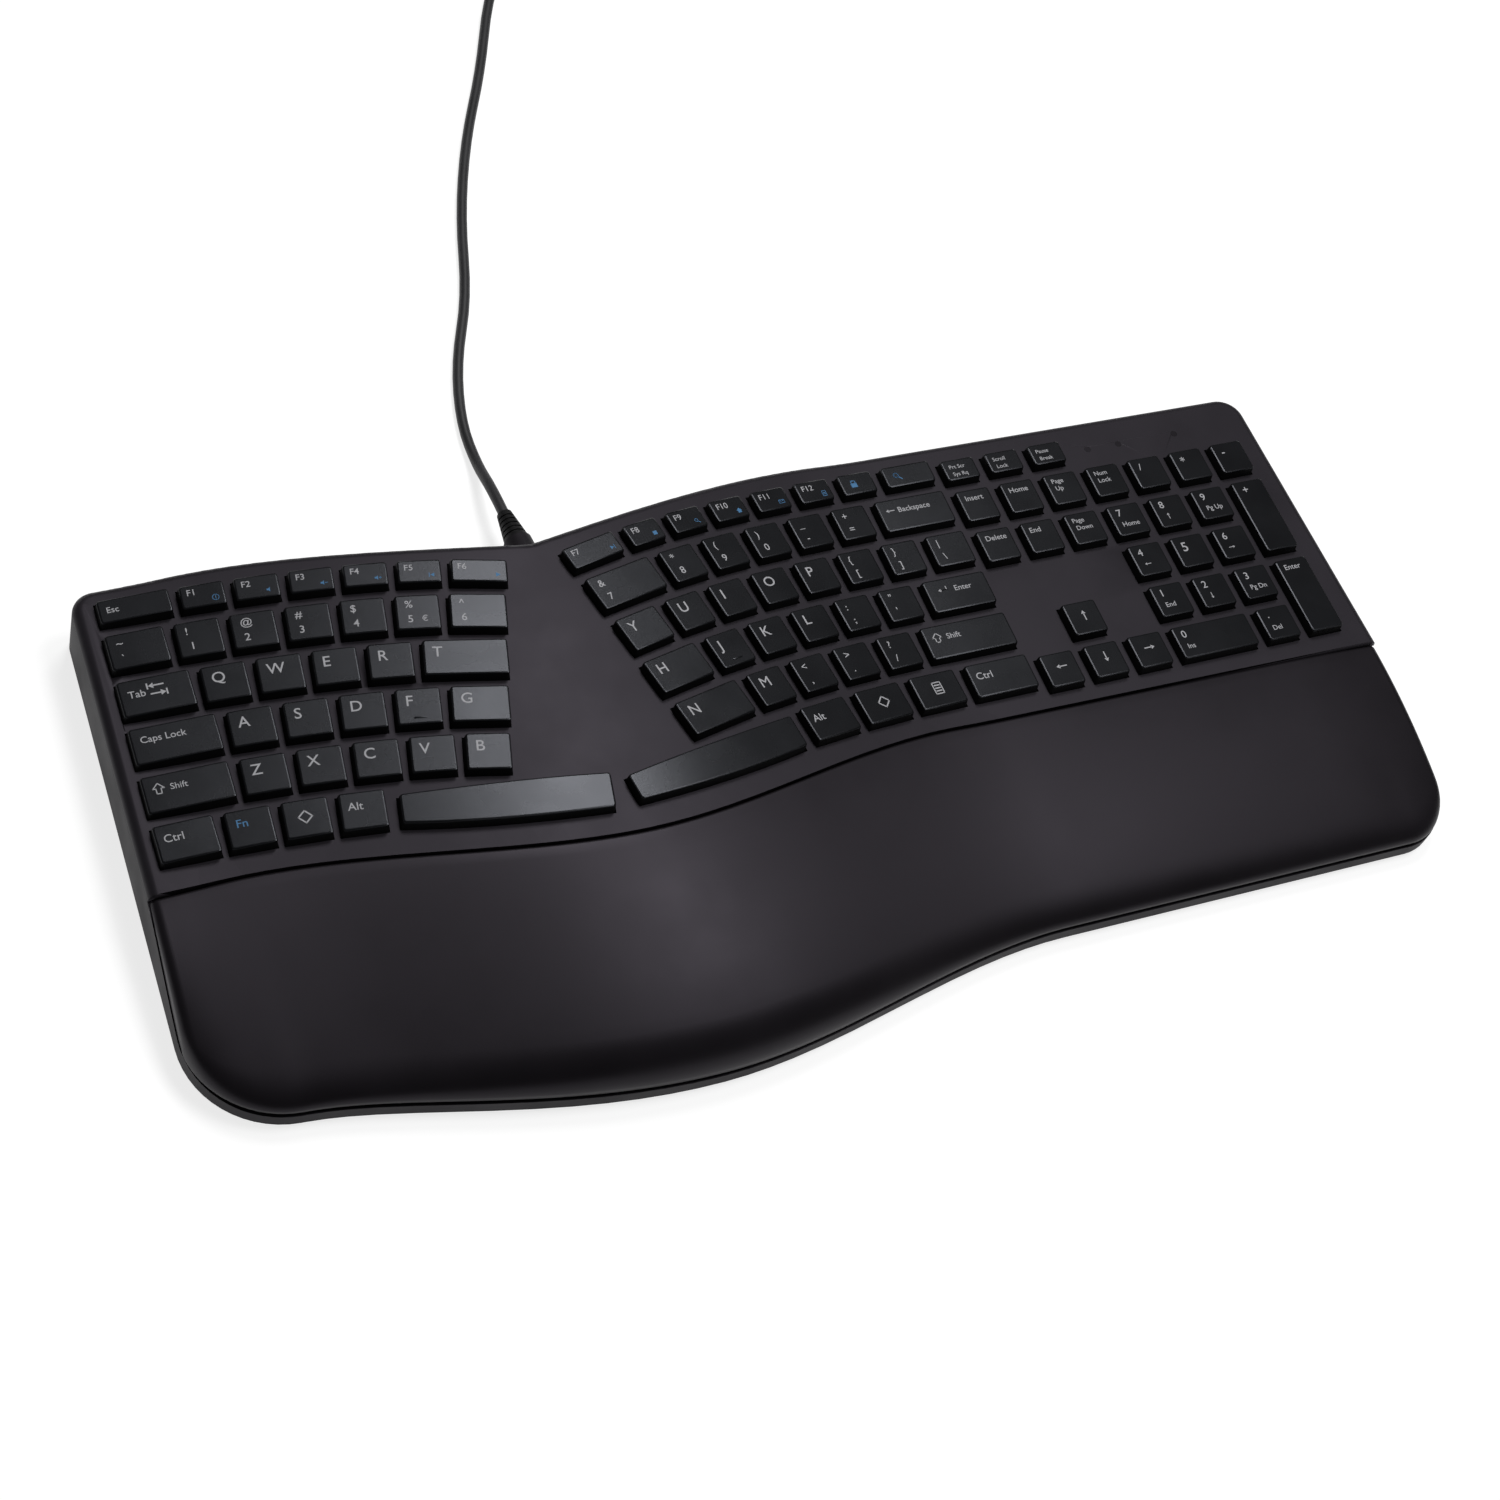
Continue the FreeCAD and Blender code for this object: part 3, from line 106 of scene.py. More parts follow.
def add_block(name, size, middle=(0, 0, 0)):
    deselect()
    bpy.ops.mesh.primitive_cube_add(size=1.0, location=middle, scale=size)
    bpy.ops.object.transform_apply(location=True, rotation=True, scale=True)
    block = bpy.context.object
    block.name = name
    return block


def dress(piece, *materials):
    piece.data.materials.clear()
    for material in materials:
        piece.data.materials.append(material)
    return piece


# %% Studio floor
FLOOR_SIDE = 12.0
FLOOR_PALE, FLOOR_SHOWN, FLOOR_GLOW = 0.62, 0.38, 0.78


def new_material(name):
    material = bpy.data.materials.new(name)
    material.use_nodes = True
    material.node_tree.nodes.clear()
    return material


def add_node(tree, kind, **values):
    """Adds a shader node and sets its sockets; an underscore stands for a space in a socket's name."""
    node = tree.nodes.new("ShaderNode" + kind)
    for socket, value in values.items():
        node.inputs[socket.replace("_", " ")].default_value = value
    return node


def add_after(tree, kind, *outputs):
    """Adds a shader node whose first sockets take these outputs."""
    node = add_node(tree, kind)
    for socket, output in zip(node.inputs, outputs):
        tree.links.new(output, socket)
    return node


def either(tree, *outputs):
    """The larger of two outputs: 1 where one of two kinds of ray arrives."""
    node = add_after(tree, "Math", *outputs)
    node.operation = "MAXIMUM"
    return node.outputs[0]


def add_floor():
    deselect()
    bpy.ops.mesh.primitive_plane_add(size=FLOOR_SIDE, location=(0.0, 0.0, 0.0))
    floor = bpy.context.object
    floor.name = "studio_floor"
    material = new_material("studio_floor_paint")
    tree = material.node_tree
    plain = add_node(tree, "BsdfDiffuse", Color=(*[FLOOR_PALE] * 3, 1))
    shown = add_node(tree, "BsdfDiffuse", Color=(*[FLOOR_SHOWN] * 3, 1))
    glow = add_node(tree, "Emission", Strength=FLOOR_GLOW)
    both = add_after(tree, "AddShader", shown.outputs[0], glow.outputs[0])
    ray = add_node(tree, "LightPath").outputs
    seen = either(tree, ray["Is Camera Ray"], ray["Is Glossy Ray"])
    seen = either(tree, seen, ray["Is Transmission Ray"])
    mix = add_after(tree, "MixShader", seen, plain.outputs[0], both.outputs[0])
    add_after(tree, "OutputMaterial", mix.outputs[0])
    dress(floor, material)
    return floor


floor = add_floor()
print("floor", tuple(round(d, 2) for d in floor.dimensions))


# %% Lamps
LAMP_AIM = Vector((-0.05, 0.0, 0.0))


def add_softbox(name, place, size, watts):
    deselect()
    bpy.ops.object.light_add(type="AREA", location=place)
    lamp = bpy.context.object
    lamp.name = name
    lamp.data.shape = "RECTANGLE"
    lamp.data.size, lamp.data.size_y = size
    lamp.data.energy = watts
    lamp.rotation_mode = "QUATERNION"
    lamp.rotation_quaternion = (LAMP_AIM - Vector(place)).to_track_quat("-Z", "Y")
    return lamp


add_softbox("rear_softbox", (0.33, 0.72, 1.37), (0.46, 0.46), 10.2)
add_softbox("top_softbox", (0.52, 0.02, 1.49), (0.50, 0.50), 9.5)

# The air is white where the camera looks, and dim as a light on the object.
AIR_LIGHT, AIR_SHOWN = 0.10, 1.0


def add_world():
    world = bpy.data.worlds.new("studio_air")
    bpy.context.scene.world = world
    world.use_nodes = True
    tree = world.node_tree
    air = tree.nodes["Background"]
    air.inputs["Color"].default_value = (1, 1, 1, 1)
    ray = add_node(tree, "LightPath").outputs
    level = add_node(tree, "MapRange", To_Min=AIR_LIGHT, To_Max=AIR_SHOWN)
    tree.links.new(either(tree, ray["Is Camera Ray"], ray["Is Transmission Ray"]), level.inputs["Value"])
    tree.links.new(level.outputs["Result"], air.inputs["Strength"])


add_world()
bpy.context.scene.view_settings.view_transform = "Standard"

# %% [markdown]
# ## The cord
#
# A thin rubber cord leaves the ribbed sleeve behind the notch, drops to the desk and runs off past
# the top of the picture. The length that isn't seen lies in a tied coil just outside the frame. It
# is one NURBS curve: its control points are a few listed points, and the curve rounds them off the
# way a stiff little cable does. The coil is more points of the same curve, worked out turn by turn.

# %% Jacket of the cord
def tone_ramp(tree, colour, drift):
    """A ramp from a little darker than the colour to a little lighter."""
    ramp = add_node(tree, "ValToRGB")
    dark, light = ramp.color_ramp.elements
    dark.position = 0.3
    dark.color = [c * (1 - drift) for c in colour] + [1]
    light.position = 0.7
    light.color = [min(1, c * (1 + drift)) for c in colour] + [1]
    return ramp


def skin_over(material, skin, place, fine, slow, tone, rough, bump):
    """Links the parts of a skin: slow noise moves tone and sheen, fine noise gives the relief."""
    tree = material.node_tree
    link = tree.links.new
    link(place, fine.inputs["Vector"])
    link(place, slow.inputs["Vector"])
    link(slow.outputs["Fac"], tone.inputs["Fac"])
    link(slow.outputs["Fac"], rough.inputs["Value"])
    link(fine.outputs["Fac"], bump.inputs["Height"])
    link(tone.outputs["Color"], skin.inputs["Base Color"])
    link(rough.outputs["Result"], skin.inputs["Roughness"])
    link(bump.outputs["Normal"], skin.inputs["Normal"])
    add_after(tree, "OutputMaterial", skin.outputs[0])
    return material


def cord_jacket(name, colour):
    """Smooth extruded rubber with a faint grain and a slow change of sheen."""
    material = new_material(name)
    tree = material.node_tree
    return skin_over(
        material,
        skin=add_node(tree, "BsdfPrincipled", Specular_IOR_Level=0.4),
        place=add_node(tree, "TexCoord").outputs["Object"],
        fine=add_node(tree, "TexNoise", Scale=1400.0, Detail=2.0),
        slow=add_node(tree, "TexNoise", Scale=60.0),
        tone=tone_ramp(tree, colour, 0.15),
        rough=add_node(tree, "MapRange", To_Min=0.42, To_Max=0.56),
        bump=add_node(tree, "Bump", Strength=0.15, Distance=0.00005),
    )


black_jacket = cord_jacket("cord_jacket_black", (0.022, 0.022, 0.024))
print("material", black_jacket.name)

# %% The cord's route
FRAME_SHIFT = Vector((-0.077852, 0.0004, 0.0))
CORD_RADIUS = 0.0021
SLEEVE_TIP = Vector((0.0087, 0.1207, 0.0126)) + FRAME_SHIFT
SLEEVE_ROOT = Vector((0.0087, 0.0923, 0.0155)) + FRAME_SHIFT
SLEEVE_LEAD = 0.0135
ROUTE_POINTS = (
    (0.0102, 0.151, 0.0030),
    (0.0110, 0.172, 0.0021),
    (0.0190, 0.201, 0.0021),
    (0.0340, 0.232, 0.0021),
    (0.0450, 0.272, 0.0021),
    (0.0610, 0.312, 0.0021),
    (0.0800, 0.348, 0.0021),
    (0.0970, 0.388, 0.0026),
)
COIL_MIDDLE = Vector((0.1476, 0.421, 0.0)) + FRAME_SHIFT
COIL_TURNS = 10
COIL_LAYERS = 4
COIL_OUTER = 0.028
COIL_INNER = 0.016
COIL_FLOOR = 0.0036
COIL_LAYER_PITCH = 0.00475
COIL_START = 157.6
COIL_END = 90.0
COIL_LEAD = 0.018
POINTS_PER_TURN = 16
TAIL_POINTS = ((0.038, -0.0006, 0.0102), (0.056, 0.0005, 0.004), (0.068, 0.0005, 0.004))


def coil_point(share):
    """A point of the coil, from its outer start (0) to its end (1), and the way that it runs."""
    sweep = COIL_TURNS * 360 + COIL_START - COIL_END
    angle = math.radians(COIL_START - sweep * share)
    place = share * COIL_LAYERS
    layer = min(int(place), COIL_LAYERS - 1)
    within = place - layer
    drawn = within if layer % 2 == 0 else 1 - within
    radius = COIL_OUTER - (COIL_OUTER - COIL_INNER) * drawn
    # From one layer to the next the cord climbs within half a turn.
    climb_share = COIL_LAYERS / (2 * (sweep / 360))
    climb = 0.0
    for border in range(1, COIL_LAYERS):
        step = (place - border) / climb_share + 0.5
        step = min(max(step, 0.0), 1.0)
        climb += step * step * (3 - 2 * step)
    outwards = Vector((math.cos(angle), math.sin(angle), 0))
    onwards = Vector((math.sin(angle), -math.cos(angle), 0))
    height = Vector((0, 0, COIL_FLOOR + climb * COIL_LAYER_PITCH))
    return COIL_MIDDLE + outwards * radius + height, onwards


def cord_points():
    away = (SLEEVE_TIP - SLEEVE_ROOT).normalized()
    points = [SLEEVE_TIP, SLEEVE_TIP + away * SLEEVE_LEAD]
    points += [Vector(p) + FRAME_SHIFT for p in ROUTE_POINTS]
    first, way = coil_point(0.0)
    points += [first - way * (2 * CORD_RADIUS + COIL_LEAD), first - way * 2 * CORD_RADIUS]
    count = COIL_TURNS * POINTS_PER_TURN
    points += [coil_point(i / count)[0] for i in range(count + 1)]
    last, way = coil_point(1.0)
    end = last + way * 2 * CORD_RADIUS
    points += [end, end + way * COIL_LEAD]
    points += [Vector((end.x + x, end.y + y, z)) for x, y, z in TAIL_POINTS]
    return points


# %% Lay the cord
def add_cord(points):
    curve = bpy.data.curves.new("cord_line", "CURVE")
    curve.dimensions = "3D"
    spline = curve.splines.new("NURBS")
    spline.points.add(len(points) - 1)
    for spot, p in zip(spline.points, points):
        spot.co = (p.x, p.y, p.z, 1.0)
    spline.order_u = 3
    spline.use_endpoint_u = True
    spline.resolution_u = 4
    curve.bevel_depth = CORD_RADIUS
    curve.bevel_resolution = 4
    curve.use_fill_caps = True
    return dress(add_object("usb_cord", curve), black_jacket)


cord = add_cord(cord_points())
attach(cord, "casing")
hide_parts("cord", "cord_coil", "cord_tail")
print("cord has", len(cord.data.splines[0].points), "control points")

# %% [markdown]
# ## Plastics, rubber and steel
#
# The casing is moulded in charcoal plastic with a fine spark-eroded grain, so light spreads softly
# over it. One recipe serves every moulded surface: a slow noise shifts the tone and the sheen a
# little, as handling and moulding do, and a fine noise gives the grain its relief. Steel gets the
# same recipe drawn out along one direction, which reads as rolled or stamped sheet.

# %% One recipe for all finishes
PLAIN, PLUM, BLUE = (1.0, 1.0, 1.0), (1.0, 0.91, 1.07), (0.93, 0.96, 1.06)


def finish(
    name, colour, sheen, grain, relief,
    specular=0.5, metal=0.0, patch=0.02, drift=0.12, stretch=(1, 1, 1), cast=PLAIN,
):
    """sheen is the range of roughness; grain, relief and patch are in metres; cast tints the sheen."""
    material = new_material(name)
    tree = material.node_tree
    drawn = add_node(tree, "Mapping", Scale=stretch)
    tree.links.new(add_node(tree, "TexCoord").outputs["Object"], drawn.inputs["Vector"])
    return skin_over(
        material,
        skin=add_node(
            tree, "BsdfPrincipled", Specular_IOR_Level=specular, Specular_Tint=(*cast, 1), Metallic=metal
        ),
        place=drawn.outputs["Vector"],
        fine=add_node(tree, "TexNoise", Scale=1 / grain, Detail=3.0),
        slow=add_node(tree, "TexNoise", Scale=1 / patch, Detail=4.0),
        tone=tone_ramp(tree, colour, drift),
        rough=add_node(tree, "MapRange", From_Min=0.3, From_Max=0.7, To_Min=sheen[0], To_Max=sheen[1]),
        bump=add_node(tree, "Bump", Strength=0.5, Distance=relief),
    )


deck_plastic = finish(
    "deck_plastic_charcoal", (0.0140, 0.0126, 0.0152), (0.44, 0.50), 0.00045, 0.00003,
    specular=0.19, cast=PLUM,
)
shell_plastic = finish(
    "shell_plastic_grey", (0.0120, 0.0110, 0.0126), (0.50, 0.60), 0.00045, 0.00003, specular=0.16, cast=PLUM
)
key_plastic = finish(
    "key_plastic_black", (0.0045, 0.0047, 0.0054), (0.25, 0.29), 0.0004, 0.00002, specular=0.25, cast=BLUE
)
# The skirts' plastic is the key plastic made duller and painted a little darker: painted shade for the caps'
# steep sides.
skirt_painted_shade = finish("key_skirt_painted_shade", (0.004, 0.004, 0.0045), (0.55, 0.7), 0.0005, 0.00001, specular=0.15)
boot_rubber = finish("boot_rubber_black", (0.0035, 0.0035, 0.004), (0.5, 0.65), 0.0006, 0.00003, specular=0.2)
foot_rubber = finish("foot_rubber_grey", (0.045, 0.045, 0.045), (0.7, 0.85), 0.0005, 0.00004, specular=0.3)
tie_plastic = finish("tie_plastic_black", (0.012, 0.012, 0.012), (0.3, 0.4), 0.0008, 0.00002)
plug_plastic = finish("plug_plastic_black", (0.015, 0.015, 0.016), (0.4, 0.5), 0.0005, 0.00003)
lens_plastic = finish(
    "lens_smoked", (0.0140, 0.0124, 0.0148), (0.26, 0.34), 0.002, 0.000005, specular=0.19, cast=PLUM
)
print(len(bpy.data.materials), "materials so far")

# %% Inner plastics, sheet and steel
core_plastic = finish("core_plastic_black", (0.022, 0.022, 0.024), (0.5, 0.62), 0.0007, 0.00004)
dome_rubber = finish("dome_rubber_grey", (0.03, 0.03, 0.032), (0.55, 0.7), 0.001, 0.00003)
circuit_film = finish("circuit_film_green", (0.42, 0.50, 0.48), (0.15, 0.25), 0.004, 0.00001)
board_green = finish("board_mask_green", (0.03, 0.16, 0.07), (0.3, 0.4), 0.0009, 0.00002)
plate_steel = finish(
    "plate_steel_rolled", (0.50, 0.50, 0.51), (0.28, 0.42), 0.0006, 0.00002, metal=1.0, stretch=(0.05, 1, 1)
)
plug_steel = finish(
    "plug_steel_bright", (0.68, 0.68, 0.68), (0.18, 0.28), 0.0004, 0.00001, metal=1.0, stretch=(0.1, 1, 1)
)
screw_steel = finish("screw_steel_zinc", (0.42, 0.42, 0.43), (0.3, 0.45), 0.0003, 0.00001, metal=1.0)

CAD_FINISHES = {
    "bottom_shell tilt_leg_left tilt_leg_right": shell_plastic,
    "palm_core": core_plastic,
    "dome_sheet": dome_rubber,
    "circuit_sheet": circuit_film,
    "key_plate": plate_steel,
    "controller_board": board_green,
    "indicator_lenses": lens_plastic,
    "case_screws": screw_steel,
    "rubber_feet leg_pad_left leg_pad_right": foot_rubber,
    "cable_boot": boot_rubber,
    "coil_tie": tie_plastic,
    "usb_plug_body": plug_plastic,
    "usb_plug_shell": plug_steel,
}

for names, material in CAD_FINISHES.items():
    for node in names.split():
        for spot in nodes[node].material_slots:
            spot.material = material
print(len(" ".join(CAD_FINISHES).split()), "CAD nodes get a finish")

# %% [markdown]
# ## Keycaps
#
# Each key is a hollow moulded cap: a flat matte top with a softly rounded rim and corners, and
# steep skirts in a duller copy of the key plastic, painted a little darker as the shade on them.
# All caps share one section, so one pattern cap is modelled from a cube: its top is drawn in, its
# corners and its rim are bevelled. Every cap of the keyboard is then a copy whose halves are moved
# apart to its width and depth, which keeps corners and rim the same on wide keys. The places, turns
# and slopes are read from the CAD keys.

# %% Choosing edges and faces in edit mode
def enter_edit(piece, kind):
    pick(piece)
    bpy.ops.object.mode_set(mode="EDIT")
    bpy.ops.mesh.select_mode(type=kind)
    bpy.ops.mesh.select_all(action="DESELECT")
    return bmesh.from_edit_mesh(piece.data)


def choose_edges(piece, wanted):
    """Selects the edges whose two end points pass the test."""
    shape = enter_edit(piece, "EDGE")
    for e in shape.edges:
        e.select_set(wanted(e.verts[0].co, e.verts[1].co))
    bmesh.update_edit_mesh(piece.data)


def choose_faces(piece, wanted):
    """Selects the faces whose middle and normal pass the test."""
    shape = enter_edit(piece, "FACE")
    for f in shape.faces:
        f.select_set(wanted(f.calc_center_median(), f.normal))
    bmesh.update_edit_mesh(piece.data)


def leave_edit():
    bpy.ops.object.mode_set(mode="OBJECT")


# %% The pattern cap
CAP_HEAD = 15 * MM
CAP_HEIGHT = 6.2 * MM
CAP_FLARE = 0.45 * MM
CAP_CORNER = 1.1 * MM
CAP_RIM = 0.6 * MM
CAP_TAPER = 0.2 * MM
CAP_FACE_INSET = 0.12 * MM
SKIRT_FROM = -1.2 * CAP_RIM
FACES_UP = 0.95


def pattern_cap():
    """A cap with its top at z = 0 and a head of CAP_HEAD by CAP_HEAD."""
    foot = CAP_HEAD + 2 * CAP_FLARE
    cap = add_block("pattern_cap", (foot, foot, CAP_HEIGHT), (0, 0, -CAP_HEIGHT / 2))
    choose_faces(cap, lambda middle, normal: normal.z > FACES_UP)
    share = (CAP_HEAD - CAP_TAPER) / foot
    bpy.ops.transform.resize(value=(share, share, 1), center_override=(0, 0, 0))
    leave_edit()
    choose_edges(cap, lambda a, b: abs(a.z - b.z) > CAP_HEIGHT / 2)
    bpy.ops.mesh.bevel(offset=CAP_CORNER, segments=3)
    leave_edit()
    choose_edges(cap, lambda a, b: min(a.z, b.z) > -CAP_RIM / 10)
    bpy.ops.mesh.bevel(offset=CAP_RIM, segments=2)
    leave_edit()
    choose_faces(cap, lambda middle, normal: normal.z > FACES_UP and middle.z > -CAP_RIM / 10)
    bpy.ops.mesh.inset(thickness=CAP_FACE_INSET)
    leave_edit()
    dress(cap, key_plastic, skirt_painted_shade)
    # Faces below the rim get the darker skirt copy, which paints the shade on the caps' sides.
    for face in cap.data.polygons:
        face.material_index = 1 if face.center.z < SKIRT_FROM else 0
    return cap


cap_pattern = pattern_cap()
print("pattern cap has", len(cap_pattern.data.polygons), "faces")


# %% Where each cap sits
SAME_POINT = 1e-6


def merged_copy(node):
    """A CAD node's shape with its doubled points merged; the node itself stays as it is."""
    shape = bmesh.new()
    shape.from_mesh(nodes[node].data)
    bmesh.ops.remove_doubles(shape, verts=shape.verts[:], dist=SAME_POINT)
    shape.normal_update()
    return shape


def groups(items, beside):
    """Gathers items into the groups that hang together; beside(item) gives an item's neighbours."""
    left = dict.fromkeys(items)
    found = []
    while left:
        group, border = [], [left.popitem()[0]]
        while border:
            item = border.pop()
            group.append(item)
            for other in beside(item):
                if other in left:
                    del left[other]
                    border.append(other)
        found.append(group)
    return found


def cap_seats(node):
    """For each cap of a CAD key node, from left to right: the middle of its top and its two sides."""
    shape = merged_copy(node)
    tops = [v for face in shape.faces if face.normal.z > FACES_UP for v in face.verts]
    seats = []
    for group in groups(tops, lambda v: [e.other_vert(v) for e in v.link_edges]):
        corners = [v.co.copy() for v in group]
        left_front = min(corners, key=lambda c: c.x + c.y)
        right_rear = max(corners, key=lambda c: c.x + c.y)
        left_rear = min(corners, key=lambda c: c.x - c.y)
        right_front = max(corners, key=lambda c: c.x - c.y)
        middle = (left_front + right_rear + left_rear + right_front) / 4
        wide = (right_front + right_rear - left_front - left_rear) / 2
        deep = (left_rear + right_rear - left_front - right_front) / 2
        seats.append((middle, wide, deep))
    shape.free()
    return sorted(seats, key=lambda seat: (round(seat[0].x, 4), seat[0].y))


KEY_NODES = sorted(n for n in nodes if n.startswith(("key_", "keys_", "pad_key")) and n != "key_plate")
SPACE_NODES = ("key_space_left", "key_space_right")
seats_of = {node: cap_seats(node) for node in KEY_NODES if node not in SPACE_NODES}
print(sum(len(s) for s in seats_of.values()), "caps in", len(seats_of), "nodes")


# %% Copies of the pattern cap
# The tops at the far left lean outwards a little more than the deck does.
OUTER_LEAN = 0.06
LEAN_START, LEAN_FULL = -100 * MM + FRAME_SHIFT.x, -150 * MM + FRAME_SHIFT.x


def on_cap(seat, x, y, z):
    """A point on a cap: x and y along its sides from the middle of its top, z straight up."""
    middle, wide, deep = seat
    along = wide / wide.xy.length
    across = deep / deep.xy.length
    share = min(max((middle.x - LEAN_START) / (LEAN_FULL - LEAN_START), 0.0), 1.0)
    lean = OUTER_LEAN * share * (1 + min(z, 0.0) / CAP_HEIGHT)
    return middle + along * x + across * y + Vector((0, 0, z + lean * x))


def copy_cap(seat):
    """A copy of the pattern whose halves are moved apart to the seat's width and depth."""
    _, wide, deep = seat
    mesh = cap_pattern.data.copy()
    more_x = (wide.xy.length + 2 * CAP_RIM - CAP_HEAD) / 2
    more_y = (deep.xy.length + 2 * CAP_RIM - CAP_HEAD) / 2
    for v in mesh.vertices:
        x = v.co.x + (more_x if v.co.x > 0 else -more_x)
        y = v.co.y + (more_y if v.co.y > 0 else -more_y)
        v.co = on_cap(seat, x, y, v.co.z)
    return add_object("cap", mesh)


def join_as(name, parts):
    """Joins pieces into one, under a new name."""
    pick(*parts)
    if len(parts) > 1:
        bpy.ops.object.join()
    piece = bpy.context.object
    piece.name = name
    return piece


def soften(piece, degrees=40):
    pick(piece)
    bpy.ops.object.shade_smooth_by_angle(angle=math.radians(degrees))
    return piece


def add_caps(node):
    caps = join_as(node.replace("key", "cap", 1), [copy_cap(seat) for seat in seats_of[node]])
    soften(caps)
    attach(caps, node)
    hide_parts(node)
    return caps


for node in seats_of:
    add_caps(node)

# %% [markdown]
# ## Deck cover
#
# The deck is one moulding over the whole keyboard, and its openings fit closely round the caps. The
# solid's openings leave room for the caps' flared feet, which only pass well below the surface, so
# on the real cover the lips reach further in. In a copy of the solid, the doubled points are merged
# and the lip of every key opening is drawn towards its cap. A lip edge shorter than this reach would
# turn over on the way, so the few such edges are closed first.

# %% The hump
DECK_HEIGHT = 25.2
HUMP_HEIGHT = 12.0
HUMP_HALF_WIDTH = 152.0
KEY_RISE = 3.8


def ease(t):
    t = min(max(t, 0.0), 1.0)
    return 1 - 3 * t * t + 2 * t**3


def deck_top(x):
    """Height of the deck's surface, in millimetres from the split line."""
    return DECK_HEIGHT + HUMP_HEIGHT * ease(abs(x) / HUMP_HALF_WIDTH)


print("deck at the split", deck_top(0), "and at the ends", deck_top(300))

# %% Find the openings' lips
LIP_REACH = 0.85 * MM
SMALL_OPENING, LARGE_OPENING = 8 * MM, 100 * MM
LEVEL_ENOUGH, UPRIGHT_ENOUGH = 0.9, 0.5


def is_surface(face):
    return face.normal.z > LEVEL_ENOUGH


def lip_edges(shape):
    """Edges that join the upper surface to an upright wall."""
    lips = []
    for e in shape.edges:
        if len(e.link_faces) == 2:
            a, b = e.link_faces
            if is_surface(a) != is_surface(b) and min(abs(a.normal.z), abs(b.normal.z)) < UPRIGHT_ENOUGH:
                lips.append(e)
    return lips


def inward(e):
    """The level direction from a lip edge into its opening."""
    surface = e.link_faces[0] if is_surface(e.link_faces[0]) else e.link_faces[1]
    a, b = e.verts
    side = Vector((b.co.y - a.co.y, a.co.x - b.co.x)).normalized()
    middle = (a.co + b.co) / 2
    away = (surface.calc_center_median() - middle).xy
    return side if side.dot(away) < 0 else -side


# %% Draw the lips in
def key_rings(shape):
    """The rings round the key openings, without the lamps' small ones and the deck's own rim."""
    rings = []
    for ring in groups(lip_edges(shape), lambda e: [near for v in e.verts for near in v.link_edges]):
        xs = [vertex.co.x for e in ring for vertex in e.verts]
        if SMALL_OPENING < max(xs) - min(xs) < LARGE_OPENING:
            rings.append(ring)
    return rings


def draw_in(rings):
    """Moves the lips inwards. All directions are found first: a moved lip changes the faces beside it."""
    ways = {}
    for ring in rings:
        for e in ring:
            for vertex in e.verts:
                ways.setdefault(vertex, []).append(inward(e))
    for vertex, (one, other) in ways.items():
        step = (one + other) * (LIP_REACH / (1 + one.dot(other)))
        before = deck_top((vertex.co.x - FRAME_SHIFT.x) / MM)
        vertex.co += step.to_3d()
        vertex.co.z += (deck_top((vertex.co.x - FRAME_SHIFT.x) / MM) - before) * MM


def add_deck_cover():
    cover = add_object("deck_cover", nodes["top_deck"].data.copy())
    shape = merged_copy("top_deck")
    short = [e for ring in key_rings(shape) for e in ring if e.calc_length() < LIP_REACH]
    bmesh.ops.collapse(shape, edges=short)
    shape.normal_update()
    rings = key_rings(shape)
    draw_in(rings)
    shape.to_mesh(cover.data)
    shape.free()
    print(len(rings), "openings drawn in,", len(short), "short edges closed first")
    return cover


deck_cover = dress(add_deck_cover(), deck_plastic)
soften(deck_cover, 35)
bpy.ops.object.modifier_add(type="WEIGHTED_NORMAL")
bpy.context.object.modifiers["WeightedNormal"].keep_sharp = True
bpy.ops.object.modifier_apply(modifier="WeightedNormal")
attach(deck_cover, "casing")
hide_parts("top_deck")

# %% [markdown]
# ## Space bars
#
# The two bars lie across the hump, so their tops bend with it, and their front edges bulge towards
# the user. Each starts as a copy of the pattern cap drawn out to the bar's length, is cut across
# into short stretches with bisect, and is then laid along its curve point by point.

# %% The two bars
SPACE_BARS = {
    "key_space_left": ((-76.4, -8.0), (-6.0, -22.2), (11.2, 13.6)),
    "key_space_right": ((71.9, -11.9), (3.4, -21.7), (13.0, 10.4)),
}
FRONT_BULGE = 1.8
REAR_BULGE = 0.2
BAR_CUTS = 15


